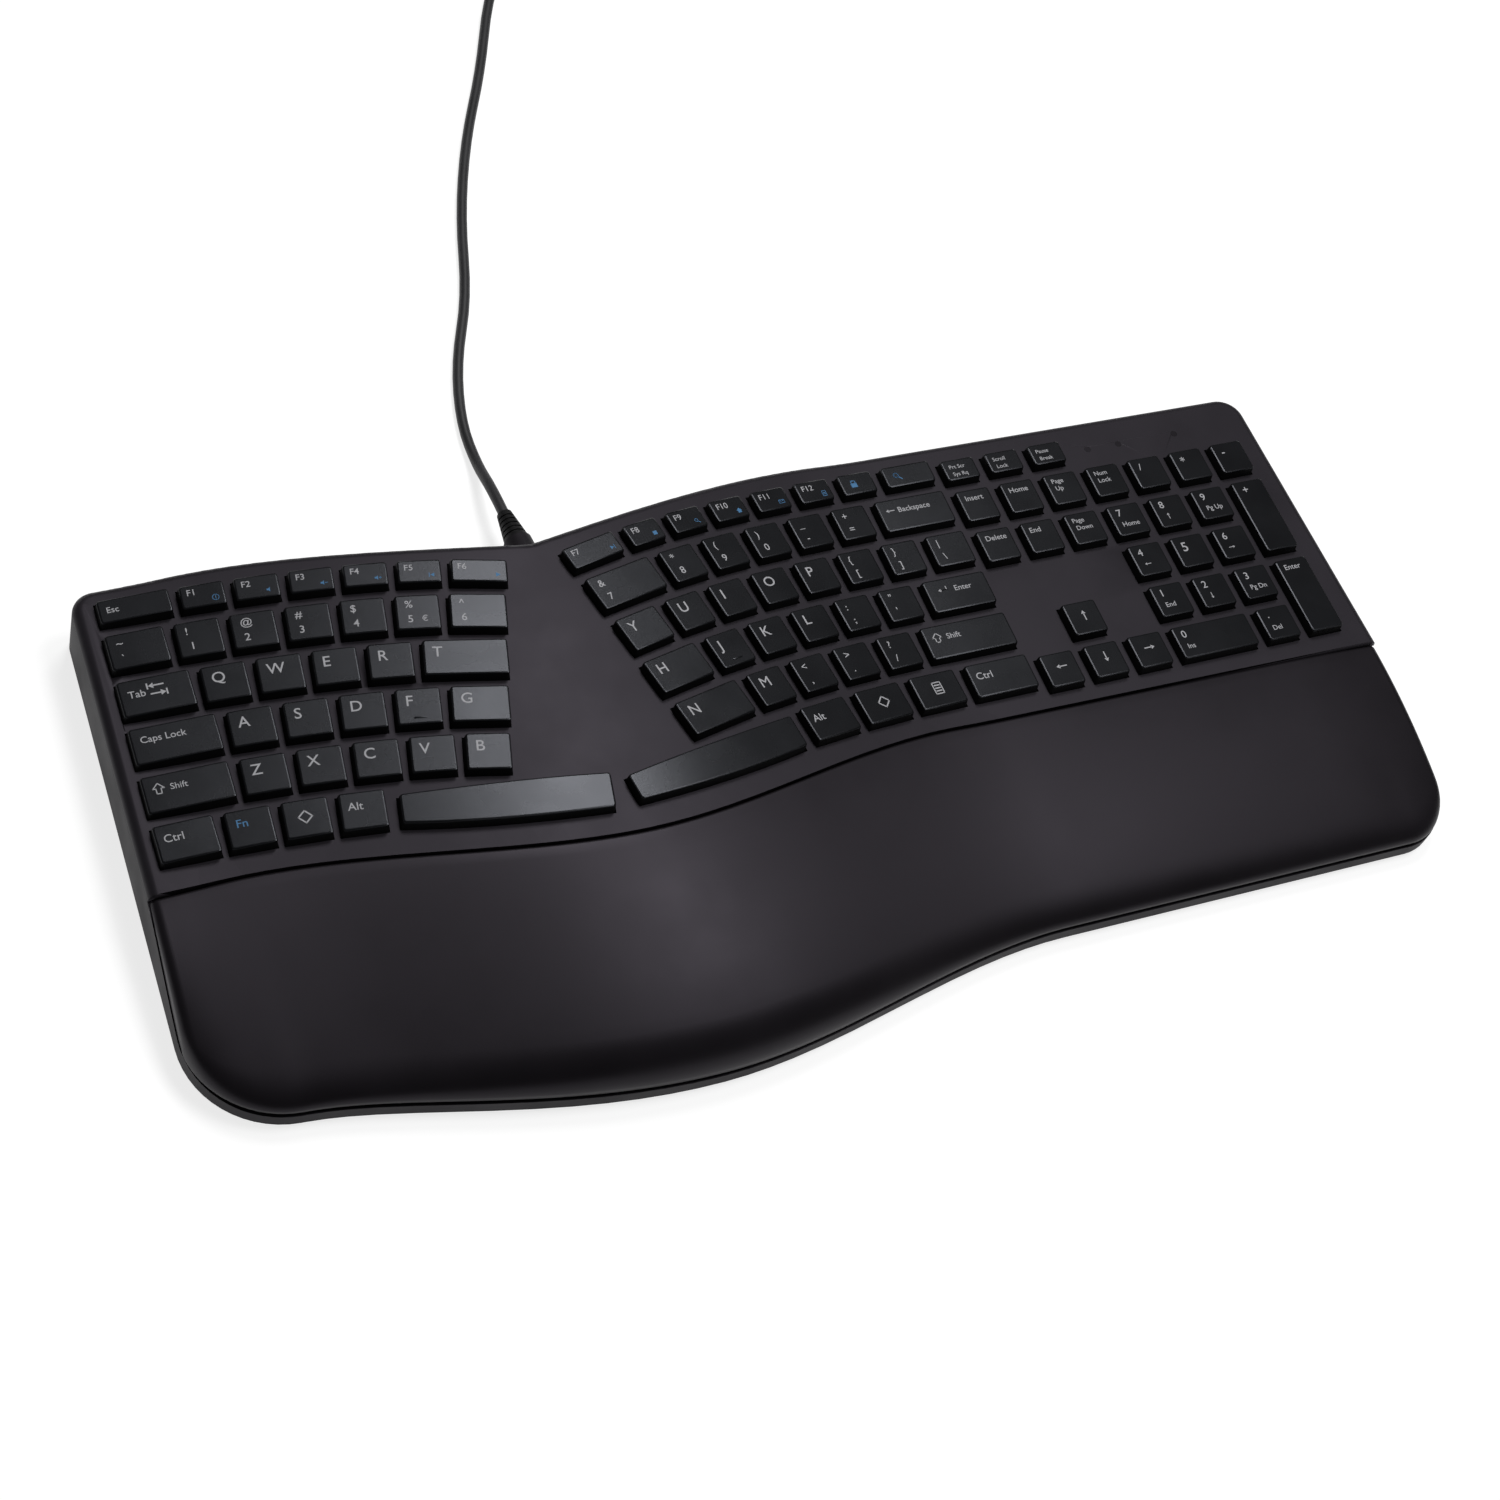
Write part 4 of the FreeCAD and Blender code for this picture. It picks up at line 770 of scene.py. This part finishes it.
def add_space_bar(node, ends, depths):
    """A bar between two front corners, outer one first."""
    (a, depth_a), (b, depth_b) = sorted(zip(ends, depths))
    a, b = Vector(a), Vector(b)
    length = (b - a).length
    along = (b - a) / length
    across = Vector((-along.y, along.x))
    bar = add_object(node.replace("key", "cap", 1), cap_pattern.data.copy())
    more = (length * MM - CAP_HEAD) / 2
    for v in bar.data.vertices:
        v.co.x += more if v.co.x > 0 else -more
    for cut in range(1, BAR_CUTS):
        choose_faces(bar, lambda middle, normal: True)
        spot = (cut / BAR_CUTS - 0.5) * (length - 4) * MM
        bpy.ops.mesh.bisect(plane_co=(spot, 0, 0), plane_no=(1, 0, 0))
        leave_edit()
    half = CAP_HEAD / 2 / MM
    for v in bar.data.vertices:
        x, y, z = (c / MM for c in v.co)
        share = x / length + 0.5
        belly = max(0.0, 1 - (2 * share - 1) ** 2)
        if y < 0:
            off = y + half - FRONT_BULGE * belly
        else:
            off = y - half + depth_a + (depth_b - depth_a) * share + REAR_BULGE * belly
        spot = a + along * (x + length / 2) + across * off
        v.co = Vector((spot.x, spot.y, deck_top(spot.x) + KEY_RISE + z)) * MM + FRAME_SHIFT
    soften(bar)
    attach(bar, node)
    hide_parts(node)
    return bar


for node, (outer, inner, depths) in SPACE_BARS.items():
    bar = add_space_bar(node, (outer, inner), depths)
    print(bar.name, len(bar.data.polygons), "faces")

bpy.data.objects.remove(cap_pattern)

# %% [markdown]
# ## Printed signs
#
# The signs are printed in light grey ink, at most four millimetres high, in the upper left of each
# cap. The function keys carry small blue pictures as well. Ink has almost no thickness, but a real
# thin solid renders and exports more surely than a picture, so every word is a text object made a
# mesh that stands two hundredths of a millimetre proud, and every arrow and picture is thin bars.
# They are laid on the cap with the same directions that placed the cap itself.

# %% Inks
white_ink = finish(
    "sign_ink_light", (0.40, 0.40, 0.42), (0.5, 0.65), 0.0003, 0.000002, specular=0.3, drift=0.06
)
blue_ink = finish(
    "sign_ink_blue", (0.05, 0.17, 0.34), (0.5, 0.65), 0.0003, 0.000002, specular=0.3, drift=0.08
)
INK_TOP = 0.02 * MM
INK_FOOT = -0.01 * MM


def word_mesh(text, height):
    """A word as a thin solid, its first letter's foot at the origin, capitals of the given height."""
    deselect()
    bpy.ops.object.text_add(location=(0, 0, 0))
    word = bpy.context.object
    word.data.body = text
    word.data.size = height / CAPITAL_SHARE
    word.data.extrude = (INK_TOP - INK_FOOT) / 2
    word.data.offset = 0.0 if "M" in text else height * STROKE_WEIGHT
    word.data.resolution_u = 4
    bpy.ops.object.convert(target="MESH")
    return bpy.context.object


STROKE_WEIGHT = 0.007
CAPITAL_SHARE = 1.0
sample = word_mesh("H", 1.0)
CAPITAL_SHARE = sample.dimensions.y
bpy.data.objects.remove(sample)
print("a capital is", round(CAPITAL_SHARE, 3), "of the text size")


# %% Pictures made of bars
def stroke(*points, width=0.11):
    """Bars along a line of points, as four-cornered outlines."""
    bars = []
    for a, b in zip(points, points[1:]):
        a, b = Vector(a), Vector(b)
        way = (b - a).normalized() * (width / 2)
        side = Vector((-way.y, way.x))
        bars.append([a - way - side, b + way - side, b + way + side, a - way + side])
    return bars


def area(*points):
    return [[Vector(p) for p in points]]


def ring(radius, x=0.0, y=0.0, corners=10):
    spots = []
    for i in range(corners + 1):
        angle = 2 * math.pi * i / corners
        spots.append((x + radius * math.cos(angle), y + radius * math.sin(angle)))
    return stroke(*spots)


def arrow(dx, dy):
    """An arrow that points along (dx, dy)."""
    tip, tail = Vector((dx, dy)) * 0.5, Vector((dx, dy)) * -0.5
    side = Vector((-dy, dx)) * 0.22
    neck = tip * 0.3
    return stroke(tail, neck) + area(tip, neck + side, neck - side)


def moved(outlines, x, y):
    return [[p + Vector((x, y)) for p in outline] for outline in outlines]


def page(*heights):
    """A sheet with a line of writing at each height."""
    sheet = stroke((-0.35, -0.5), (0.35, -0.5), (0.35, 0.5), (-0.35, 0.5), (-0.35, -0.5), width=0.09)
    return sheet + [bar for y in heights for bar in stroke((-0.2, y), (0.2, y))]


SPEAKER = area((-0.5, -0.15), (-0.25, -0.15), (-0.25, 0.15), (-0.5, 0.15))
SPEAKER += area((-0.25, -0.15), (0.0, -0.4), (0.0, 0.4), (-0.25, 0.15))
SOFTER = SPEAKER + stroke((0.2, 0.0), (0.5, 0.0))
PICTURES = {
    "left": arrow(-1, 0),
    "right": arrow(1, 0),
    "up": arrow(0, 1),
    "down": arrow(0, -1),
    "enter": stroke((0.6, 0.45), (0.6, 0.0), (0.0, 0.0)) + arrow(-1, 0),
    "shift": stroke(
        (0, 0.5), (0.45, 0.02), (0.2, 0.02), (0.2, -0.45),
        (-0.2, -0.45), (-0.2, 0.02), (-0.45, 0.02), (0, 0.5), width=0.09,
    ),
    "tab": moved(arrow(-1, 0), 0.0, 0.32)
    + stroke((-0.56, 0.14), (-0.56, 0.5))
    + moved(arrow(1, 0), 0.1, -0.32)
    + stroke((0.66, -0.5), (0.66, -0.14)),
    "menu": page(0.25, 0.0, -0.25),
    "diamond": stroke((0, 0.5), (0.5, 0), (0, -0.5), (-0.5, 0), (0, 0.5)),
    "help": ring(0.5) + stroke((0, -0.05), (0, 0.25)) + stroke((0, -0.26), (0, -0.22)),
    "quiet": SPEAKER,
    "softer": SOFTER,
    "louder": SOFTER + stroke((0.35, -0.15), (0.35, 0.15)),
    "play": area((-0.3, -0.4), (0.4, 0.0), (-0.3, 0.4)),
    "back": area((0.4, -0.35), (0.4, 0.35), (-0.2, 0.0)) + stroke((-0.35, -0.35), (-0.35, 0.35)),
    "next": area((-0.4, 0.35), (-0.4, -0.35), (0.2, 0.0)) + stroke((0.35, -0.35), (0.35, 0.35)),
    "stop": area((-0.35, -0.35), (0.35, -0.35), (0.35, 0.35), (-0.35, 0.35)),
    "find": ring(0.28, -0.12, 0.12) + stroke((0.1, -0.1), (0.42, -0.42)),
    "house": area((-0.5, 0.0), (0.5, 0.0), (0.0, 0.5))
    + area((-0.32, -0.42), (0.32, -0.42), (0.32, 0.0), (-0.32, 0.0)),
    "letter": stroke((-0.5, -0.32), (0.5, -0.32), (0.5, 0.32), (-0.5, 0.32), (-0.5, -0.32), width=0.08)
    + stroke((-0.45, 0.28), (0.0, -0.05), (0.45, 0.28), width=0.08),
    "page": page(0.1, -0.15),
    "lock": area((-0.35, -0.45), (0.35, -0.45), (0.35, 0.08), (-0.35, 0.08))
    + stroke((-0.22, 0.05), (-0.22, 0.38), (0.22, 0.38), (0.22, 0.05)),
}


def picture_mesh(name, size):
    """A picture as thin bars, its middle at the origin."""
    shape = bmesh.new()
    for outline in PICTURES[name]:
        foot = [shape.verts.new((p.x * size, p.y * size, INK_FOOT)) for p in outline]
        head = [shape.verts.new((p.x * size, p.y * size, INK_TOP)) for p in outline]
        shape.faces.new(head)
        shape.faces.new(reversed(foot))
        for i in range(len(outline)):
            j = (i + 1) % len(outline)
            shape.faces.new((foot[i], foot[j], head[j], head[i]))
    mesh = bpy.data.meshes.new(name)
    shape.to_mesh(mesh)
    shape.free()
    return add_object(name, mesh)


print(len(PICTURES), "pictures")


# %% What is printed on each key
# Places are millimetres from the left and from the rear rim of the cap's flat top.
def word(text, x=2.1, y=4.9, height=2.3, ink=white_ink):
    return [("word", text, x, y, height, ink)]


def picture(name, x, y, size=3.0, ink=white_ink):
    return [("picture", name, x, y, size, ink)]


def letters(row):
    return [word(text, 2.6, 4.4, 4.1) for text in row]


def pair(upper, lower):
    return word(upper, 2.7, 3.3, 2.9) + word(lower, 3.3, 9.3, 2.9)


def pairs(uppers, lowers):
    return [pair(upper, lower) for upper, lower in zip(uppers, lowers, strict=True)]


def lines(upper, lower, height=2.0):
    return word(upper, 2.0, 2.9, height) + word(lower, 2.4, 6.3, height)


def function_keys(first, *pictures):
    """F and a number in grey, a picture in blue."""
    return [
        word(f"F{number}", 1.7, 2.6, 2.4) + picture(name, -3.0, 6.0, 2.3, blue_ink)
        for number, name in enumerate(pictures, first)
    ]


def digit(text, below):
    return word(text, 2.6, 3.2, 3.1) + word(below, 2.8, 8.6, 2.1)


def digit_arrow(text, way):
    return word(text, 2.6, 3.2, 3.1) + picture(way, 4.6, 8.6, 2.6)


SHIFT, CONTROL = picture("shift", 4.6, 4.9, 4.2) + word("Shift", x=8.4), word("Ctrl", height=2.9)
SIGNS = {
    "key_escape": [word("Esc", y=3.9)],
    "keys_f1_to_f6": function_keys(1, "help", "quiet", "softer", "louder", "back", "play"),
    "keys_f7_to_f12": function_keys(7, "next", "stop", "find", "house", "letter", "page"),
    "keys_shortcut": [picture("lock", 5.0, 4.3, 3.6, blue_ink), picture("find", 5.0, 4.3, 3.6, blue_ink)],
    "keys_print_to_pause": [
        lines("Prt Scr", "Sys Rq", 1.7),
        lines("Scroll", "Lock", 1.7),
        lines("Pause", "Break", 1.7),
    ],
    "key_backquote": [pair("~", "`")],
    "keys_1_to_6": pairs("!@#$", "1234") + [pair("%", "5") + word("€", 8.2, 9.3)] + pairs("^", "6"),
    "keys_7_to_equals": pairs("&*()_+", "7890-="),
    "key_backspace": [picture("left", 4.2, 4.6, 3.4) + word("Backspace", x=7.4, y=4.6)],
    "key_tab": [word("Tab", x=2.4, y=5.4, height=2.7) + picture("tab", 12.0, 4.9, 5.0)],
    "keys_q_to_t": letters("QWERT"),
    "keys_y_to_bracket": letters("YUIOP") + pairs("{}", "[]"),
    "key_backslash": [pair("|", "\\")],
    "key_caps_lock": [word("Caps Lock", x=2.6, y=4.4, height=2.5)],
    "keys_a_to_g": letters("ASDFG"),
    "keys_h_to_quote": letters("HJKL") + [pair(":", ";"), pair('"', "'")],
    "key_enter": [picture("enter", 6.0, 4.6, 3.2) + word("Enter", x=11.0, y=4.6)],
    "key_shift_left": [SHIFT],
    "keys_z_to_b": letters("ZXCVB"),
    "keys_n_to_slash": letters("NM") + pairs("<>?", ",./"),
    "key_shift_right": [SHIFT],
    "key_control_left": [CONTROL],
    "keys_function_to_alt": [
        word("Fn", 2.6, 4.6, 3.0, blue_ink),
        picture("diamond", 6.6, 6.2, 4.6),
        word("Alt", height=2.9),
    ],
    "keys_menu_to_alt": [
        word("Alt", height=2.9),
        picture("diamond", 9.0, 6.2, 4.6),
        picture("menu", 9.0, 6.0, 4.8),
    ],
    "key_control_right": [CONTROL],
    "keys_insert_to_page_up": [word("Insert", y=3.4), word("Home", y=3.4), lines("Page", "Up")],
    "keys_delete_to_page_down": [word("Delete", y=3.4), word("End", y=3.4), lines("Page", "Down")],
    "keys_arrows": [picture(name, 6.6, 5.6, 4.2) for name in ("left", "down", "up", "right")],
    "pad_keys_top_row": [
        lines("Num", "Lock"),
        word("/", 2.9, 3.6, 3.0),
        word("*", 2.9, 4.4, 3.4),
        word("-", 2.9, 3.6, 3.6),
    ],
    "pad_keys_7_to_9": [digit("7", "Home"), digit_arrow("8", "up"), digit("9", "Pg Up")],
    "pad_keys_4_to_6": [digit_arrow("4", "left"), *letters("5"), digit_arrow("6", "right")],
    "pad_keys_1_to_3": [digit("1", "End"), digit_arrow("2", "down"), digit("3", "Pg Dn")],
    "pad_key_plus": [word("+", 2.9, 3.6, 3.4)],
    "pad_key_enter": [word("Enter", y=3.2)],
    "pad_key_0": [digit("0", "Ins")],
    "pad_key_point": [word(".", 3.0, 2.6, 3.0) + word("Del", 2.8, 8.6, 2.1)],
}


# %% Lay the signs on the caps
def lay_sign(seat, sign):
    """Puts one sign in its place on a cap; a negative place counts from the right side."""
    kind, text, from_left, from_rear, height, ink = sign
    _, wide, deep = seat
    side = wide.xy.length / 2
    left = from_left * MM + (side if from_left < 0 else -side)
    low = deep.xy.length / 2 - from_rear * MM
    if kind == "word":
        piece = word_mesh(text, height * MM)
        low -= height * MM / 2
        lift = (INK_TOP + INK_FOOT) / 2
    else:
        piece = picture_mesh(text, height * MM)
        lift = 0.0
    for v in piece.data.vertices:
        v.co = on_cap(seat, left + v.co.x, low + v.co.y, v.co.z + lift)
    return dress(piece, ink)


def add_signs(node):
    pieces = []
    for seat, signs in zip(seats_of[node], SIGNS[node], strict=True):
        pieces += [lay_sign(seat, sign) for sign in signs]
    signs = join_as("signs_of_" + node, pieces)
    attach(signs, node)
    return signs


for node in SIGNS:
    add_signs(node)
print("signs on", len(SIGNS), "nodes,", sum(len(s) for s in SIGNS.values()), "caps")

# %% Homing bars on F and J
HOMING_BAR = (4.2 * MM, 0.6 * MM, 0.5 * MM)
HOMING_ROUND = 0.15 * MM
HOMING_FROM_FRONT = 2.0 * MM


def add_homing_bar(node, index, key):
    """A low raised bar near the front rim, which the forefinger finds without looking."""
    seat = seats_of[node][index]
    deep = seat[2]
    bar = add_block("homing_bar_" + key, HOMING_BAR)
    choose_edges(bar, lambda a, b: min(a.z, b.z) > 0 or abs(a.z - b.z) > 0.1 * MM)
    bpy.ops.mesh.bevel(offset=HOMING_ROUND, segments=2)
    leave_edit()
    front = -deep.xy.length / 2 + HOMING_FROM_FRONT
    for v in bar.data.vertices:
        v.co = on_cap(seat, v.co.x, v.co.y + front, v.co.z)
    dress(bar, key_plastic)
    soften(bar)
    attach(bar, node)
    return bar


print(add_homing_bar("keys_a_to_g", 3, "f").name, add_homing_bar("keys_h_to_quote", 1, "j").name)

# %% [markdown]
# ## Palm rest
#
# The rest is a firm pad of foam under a smooth soft-touch skin, moulded to the casing: it tucks into
# the seam along the deck with a tight round edge, swells a little, and rolls down over the front
# into the rim of the shell. It has no stitches and no wrinkles, so a cloth simulation would only
# disturb the clean line. A grid is shaped instead: its columns run from the seam to the front, its
# outermost columns go down the two ends, and a Solidify modifier gives the skin its thickness.

# %% Lines that bound the rest, in millimetres from the split line
SEAM_LEFT_Y, SEAM_MIDDLE, SEAM_RIGHT_Y, SEAM_END_Y = -9.2, (4.7, -30.8), -12.6, -15.0
SEAM_LEFT_LEVEL, SEAM_RIGHT_LEVEL = -138.0, 133.0
REAR_LEFT = Vector((-156.0, 111.6))
FRONT_LEFT = Vector((-165.6, -86.1))
FRONT_LEFT_LEVEL = Vector((-131.0, -88.9))
FRONT_BULGE_POINT = Vector((7.7, -112.4))
FRONT_RIGHT_LEVEL = Vector((150.0, -92.4))
FRONT_RIGHT = Vector((320.0, -94.2))
REAR_RIGHT = Vector((317.6, 108.3))
LEFT_ROUND, RIGHT_ROUND = 34.0, 21.0
FRONT_LEFT_LEAD, BULGE_LEAD = 34.3, 57.7
RIM_TOP, RIM_LEVEL_Y, WALL_TOP = 6.8, -82.0, 21.2
REST_INSET = 0.4
WALL_FRONT_LEAD, WALL_REAR_LEAD = (36.4, 0.6), (18.2, 1.5)


def curve_points(poles, count):
    """Points along a Bezier curve of four poles."""
    points = []
    for i in range(count + 1):
        t = i / count
        a, b, c, d = (1 - t) ** 3, 3 * t * (1 - t) ** 2, 3 * t * t * (1 - t), t**3
        points.append(a * poles[0] + b * poles[1] + c * poles[2] + d * poles[3])
    return points


def round_points(before, corner, after, radius, count):
    """Points along a corner that is rounded to a radius."""
    back, on = (before - corner).normalized(), (after - corner).normalized()
    half = back.angle(on) / 2
    centre = corner + (back + on).normalized() * (radius / math.sin(half))
    reach = radius / math.tan(half)
    start, end = corner + back * reach - centre, corner + on * reach - centre
    turn = start.angle(end)
    points = []
    for i in range(count + 1):
        s = i / count
        points.append(centre + (start * math.sin((1 - s) * turn) + end * math.sin(s * turn)) / math.sin(turn))
    return points


def front_line():
    """The front edge of the casing, from its leftmost point to its rightmost."""
    left = round_points(REAR_LEFT, FRONT_LEFT, FRONT_LEFT_LEVEL, LEFT_ROUND, 40)
    right = round_points(FRONT_RIGHT_LEVEL, FRONT_RIGHT, REAR_RIGHT, RIGHT_ROUND, 40)
    lead = FRONT_LEFT_LEVEL + (FRONT_LEFT_LEVEL - left[-1]).normalized() * FRONT_LEFT_LEAD
    to_bulge = [FRONT_LEFT_LEVEL, lead, FRONT_BULGE_POINT - Vector((BULGE_LEAD, 0)), FRONT_BULGE_POINT]
    third = (FRONT_RIGHT_LEVEL.x - FRONT_BULGE_POINT.x) / 3
    away = (FRONT_RIGHT_LEVEL - right[0]).normalized() * third
    from_bulge = [FRONT_BULGE_POINT, FRONT_BULGE_POINT + Vector((third, 0))]
    from_bulge += [FRONT_RIGHT_LEVEL + away, FRONT_RIGHT_LEVEL]
    points = left + curve_points(to_bulge, 60) + curve_points(from_bulge, 60) + right
    first = min(range(len(points)), key=lambda i: points[i].x)
    last = max(range(len(points)), key=lambda i: points[i].x)
    return points[first : last + 1]


FRONT_LINE = front_line()
REST_LEFT, REST_RIGHT = FRONT_LINE[0].x + REST_INSET, FRONT_LINE[-1].x - REST_INSET
print("the rest spans", round(REST_RIGHT - REST_LEFT, 1), "mm")


def between(points, x):
    """The height of a line of points at x."""
    for a, b in zip(points, points[1:]):
        if a.x <= x <= b.x and b.x > a.x:
            return a.y + (b.y - a.y) * (x - a.x) / (b.x - a.x)
    return points[0].y if x < points[0].x else points[-1].y


def seam_y(x):
    middle_x, middle_y = SEAM_MIDDLE
    if x < middle_x:
        return SEAM_LEFT_Y + (middle_y - SEAM_LEFT_Y) * ease((middle_x - x) / (middle_x - SEAM_LEFT_LEVEL))
    if x < SEAM_RIGHT_LEVEL:
        return SEAM_RIGHT_Y + (middle_y - SEAM_RIGHT_Y) * ease((x - middle_x) / (SEAM_RIGHT_LEVEL - middle_x))
    share = (x - SEAM_RIGHT_LEVEL) / (FRONT_RIGHT.x - SEAM_RIGHT_LEVEL)
    return SEAM_RIGHT_Y + (SEAM_END_Y - SEAM_RIGHT_Y) * share


# The top of the shell's wall beside the rest, as (y, z).
WALL_LINE = curve_points(
    [
        Vector((RIM_LEVEL_Y, RIM_TOP)),
        Vector((RIM_LEVEL_Y + WALL_FRONT_LEAD[0], RIM_TOP + WALL_FRONT_LEAD[1])),
        Vector((SEAM_LEFT_Y - WALL_REAR_LEAD[0], WALL_TOP - WALL_REAR_LEAD[1])),
        Vector((SEAM_LEFT_Y, WALL_TOP)),
    ],
    30,
)
print("wall top half way", round(between(WALL_LINE, -45), 1))

# %% One column of the rest
SEAM_GAP = 0.5
SEAM_ROUND = 1.3
TOP_STEP = 0.4
FRONT_HEIGHT = 16.5
FRONT_HUMP = 7.5
ROLL, CORNER_ROLL, ROLL_LEAD = 13.0, 8.0, 0.55
EDGE_Z = 8.6
CROWN = 1.6
END_ROUND = 3.0
END_SLOPE = 1.4
END_SLOPE_REACH = 45.0
SIDE_FADE = 30.0
SEAM_DEPTH = 4.0
TUCK_Z = 7.8
TOP_ROWS, ROLL_ROWS, SEAM_ROWS = 18, 10, 4
ROUND_COLUMNS, LEFT_COLUMNS, MIDDLE_COLUMNS, RIGHT_COLUMNS = 5, 14, 96, 12
COLUMN_SPREAD = 1.4


def rest_column(x):
    """Points (y, z) of the rest's outer skin at x, from the seam down to the front rim."""
    end = min(x - REST_LEFT, REST_RIGHT - x)
    side = max(0.0, 1 - end / END_ROUND)
    drop = END_ROUND * (1 - math.sqrt(max(0.0, 1 - side * side)))
    drop += END_SLOPE * max(0.0, 1 - end / END_SLOPE_REACH) ** 2
    rear = seam_y(x) - SEAM_GAP
    front = between(FRONT_LINE, x) + REST_INSET
    corner = max(0.0, 1 - end / RIGHT_ROUND)
    shoulder = front + ROLL - (ROLL - CORNER_ROLL) * corner
    clamped = min(max(x, REST_LEFT + LEFT_ROUND), REST_RIGHT - RIGHT_ROUND)
    full_shoulder = between(FRONT_LINE, clamped) + REST_INSET + ROLL
    rear_top = deck_top(x) - TOP_STEP
    front_top = FRONT_HEIGHT + FRONT_HUMP * ease(abs(x) / HUMP_HALF_WIDTH)

    def top(y):
        share = (rear - y) / (rear - shoulder)
        slope = (front_top - rear_top) * (rear - y) / (rear - full_shoulder)
        return rear_top + slope + 4 * CROWN * share * (1 - share) - drop

    low = rear_top - drop - SEAM_DEPTH
    if end < END_ROUND:
        low = max(low, between(WALL_LINE, rear) + 0.2)
    rows = [Vector((rear, low))]
    for i in range(SEAM_ROWS + 1):
        angle = math.pi / 2 * i / SEAM_ROWS
        y = rear - SEAM_ROUND * (1 - math.cos(angle))
        rows.append(Vector((y, top(y) - SEAM_ROUND * (1 - math.sin(angle)))))
    start = rows[-1].x
    for i in range(1, TOP_ROWS + 1):
        y = start + (shoulder - start) * i / TOP_ROWS
        rows.append(Vector((y, top(y))))
    head = rows[-1]
    way = Vector((-0.5, top(shoulder - 0.5) - top(shoulder))).normalized()
    foot = Vector((front, EDGE_Z))
    depth = head.x - front
    lead = foot + Vector((0, (head.y - EDGE_Z) * ROLL_LEAD))
    poles = [head, head + way * depth * ROLL_LEAD, lead, foot]
    rows += curve_points(poles, ROLL_ROWS)[1:]
    rows += [Vector((front + 0.5, TUCK_Z)), Vector((front + 1.0, RIM_TOP + 0.1))]
    return rows


def on_side(rear, front, y):
    """Where a slanting end of the casing lies at y, between its rear and its front point."""
    return rear.x + (front.x - rear.x) * (rear.y - y) / (rear.y - front.y)


def side_shift(x, y):
    """How far the casing's slanting ends draw the rest in, at a point near an end."""
    left = on_side(REAR_LEFT, FRONT_LEFT, y) + REST_INSET - REST_LEFT
    right = on_side(REAR_RIGHT, FRONT_RIGHT, y) - REST_INSET - REST_RIGHT
    near_left = max(0.0, 1 - (x - REST_LEFT) / SIDE_FADE)
    near_right = max(0.0, 1 - (REST_RIGHT - x) / SIDE_FADE)
    return max(0.0, left) * near_left + min(0.0, right) * near_right


def end_steps(reach, count):
    """Distances of columns from an end: close together in its round, then wider and wider apart."""
    near = [END_ROUND * (1 - math.cos(math.pi / 2 * i / ROUND_COLUMNS)) for i in range(ROUND_COLUMNS + 1)]
    wider = [(i / count) ** COLUMN_SPREAD for i in range(1, count + 1)]
    return near + [END_ROUND + (reach - END_ROUND) * share for share in wider]


def rest_stations():
    """Where the columns stand, from left to right."""
    stations = [REST_LEFT + d for d in end_steps(LEFT_ROUND, LEFT_COLUMNS)]
    span = REST_RIGHT - REST_LEFT - LEFT_ROUND - RIGHT_ROUND
    stations += [REST_LEFT + LEFT_ROUND + span * i / MIDDLE_COLUMNS for i in range(1, MIDDLE_COLUMNS)]
    return stations + [REST_RIGHT - d for d in reversed(end_steps(RIGHT_ROUND, RIGHT_COLUMNS))]


stations = rest_stations()
print(len(stations), "columns of", len(rest_column(0)), "points")

# %% Shape the rest
END_ROWS = 5
LEAST_SIDE = 0.5
REST_SKIN = 2.4 * MM


def rest_points():
    """All the grid's points, column by column, with the columns that go down the two ends. Where the
    wall leaves almost no height, those columns lie on the last one and are merged with it later."""
    columns = []
    for x in stations:
        columns.append([Vector((x + side_shift(x, p.x), p.x, p.y)) for p in rest_column(x)])
    for edge in (columns[0], columns[-1]):
        downs = []
        for row in range(1, END_ROWS + 1):
            down = []
            for i, p in enumerate(edge):
                height = p.z - between(WALL_LINE, p.y) - 0.1
                if height < LEAST_SIDE or i > len(edge) - 4:
                    height = 0.0
                down.append(Vector((p.x, p.y, p.z - height * row / END_ROWS)))
            downs.append(down)
        columns = list(reversed(downs)) + columns if edge is columns[0] else columns + downs
    return columns


def add_palm_rest():
    columns = rest_points()
    rows = len(columns[0])
    deselect()
    bpy.ops.mesh.primitive_grid_add(x_subdivisions=len(columns) - 1, y_subdivisions=rows - 1, size=1.0)
    rest = bpy.context.object
    rest.name = "palm_rest"
    order = sorted(rest.data.vertices, key=lambda v: (round(v.co.x, 6), -round(v.co.y, 6)))
    flat = [p for column in columns for p in column]
    for v, p in zip(order, flat, strict=True):
        v.co = p * MM + FRAME_SHIFT
    choose_faces(rest, lambda middle, normal: True)
    bpy.ops.mesh.remove_doubles(threshold=0.02 * MM)
    bpy.ops.mesh.normals_make_consistent(inside=False)
    leave_edit()
    skin = rest.modifiers.new("skin_thickness", "SOLIDIFY")
    skin.thickness = REST_SKIN
    skin.offset = -1.0
    bpy.ops.object.modifier_apply(modifier="skin_thickness")
    bpy.ops.object.shade_smooth()
    return rest


palm_skin = finish(
    "palm_skin_soft", (0.0072, 0.0062, 0.0075), (0.38, 0.44), 0.0006, 0.00002,
    specular=0.19, cast=PLUM, patch=0.03,
)
palm_rest = dress(add_palm_rest(), palm_skin)
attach(palm_rest, "casing")
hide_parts("palm_cushion")
print("palm rest", len(palm_rest.data.polygons), "faces")
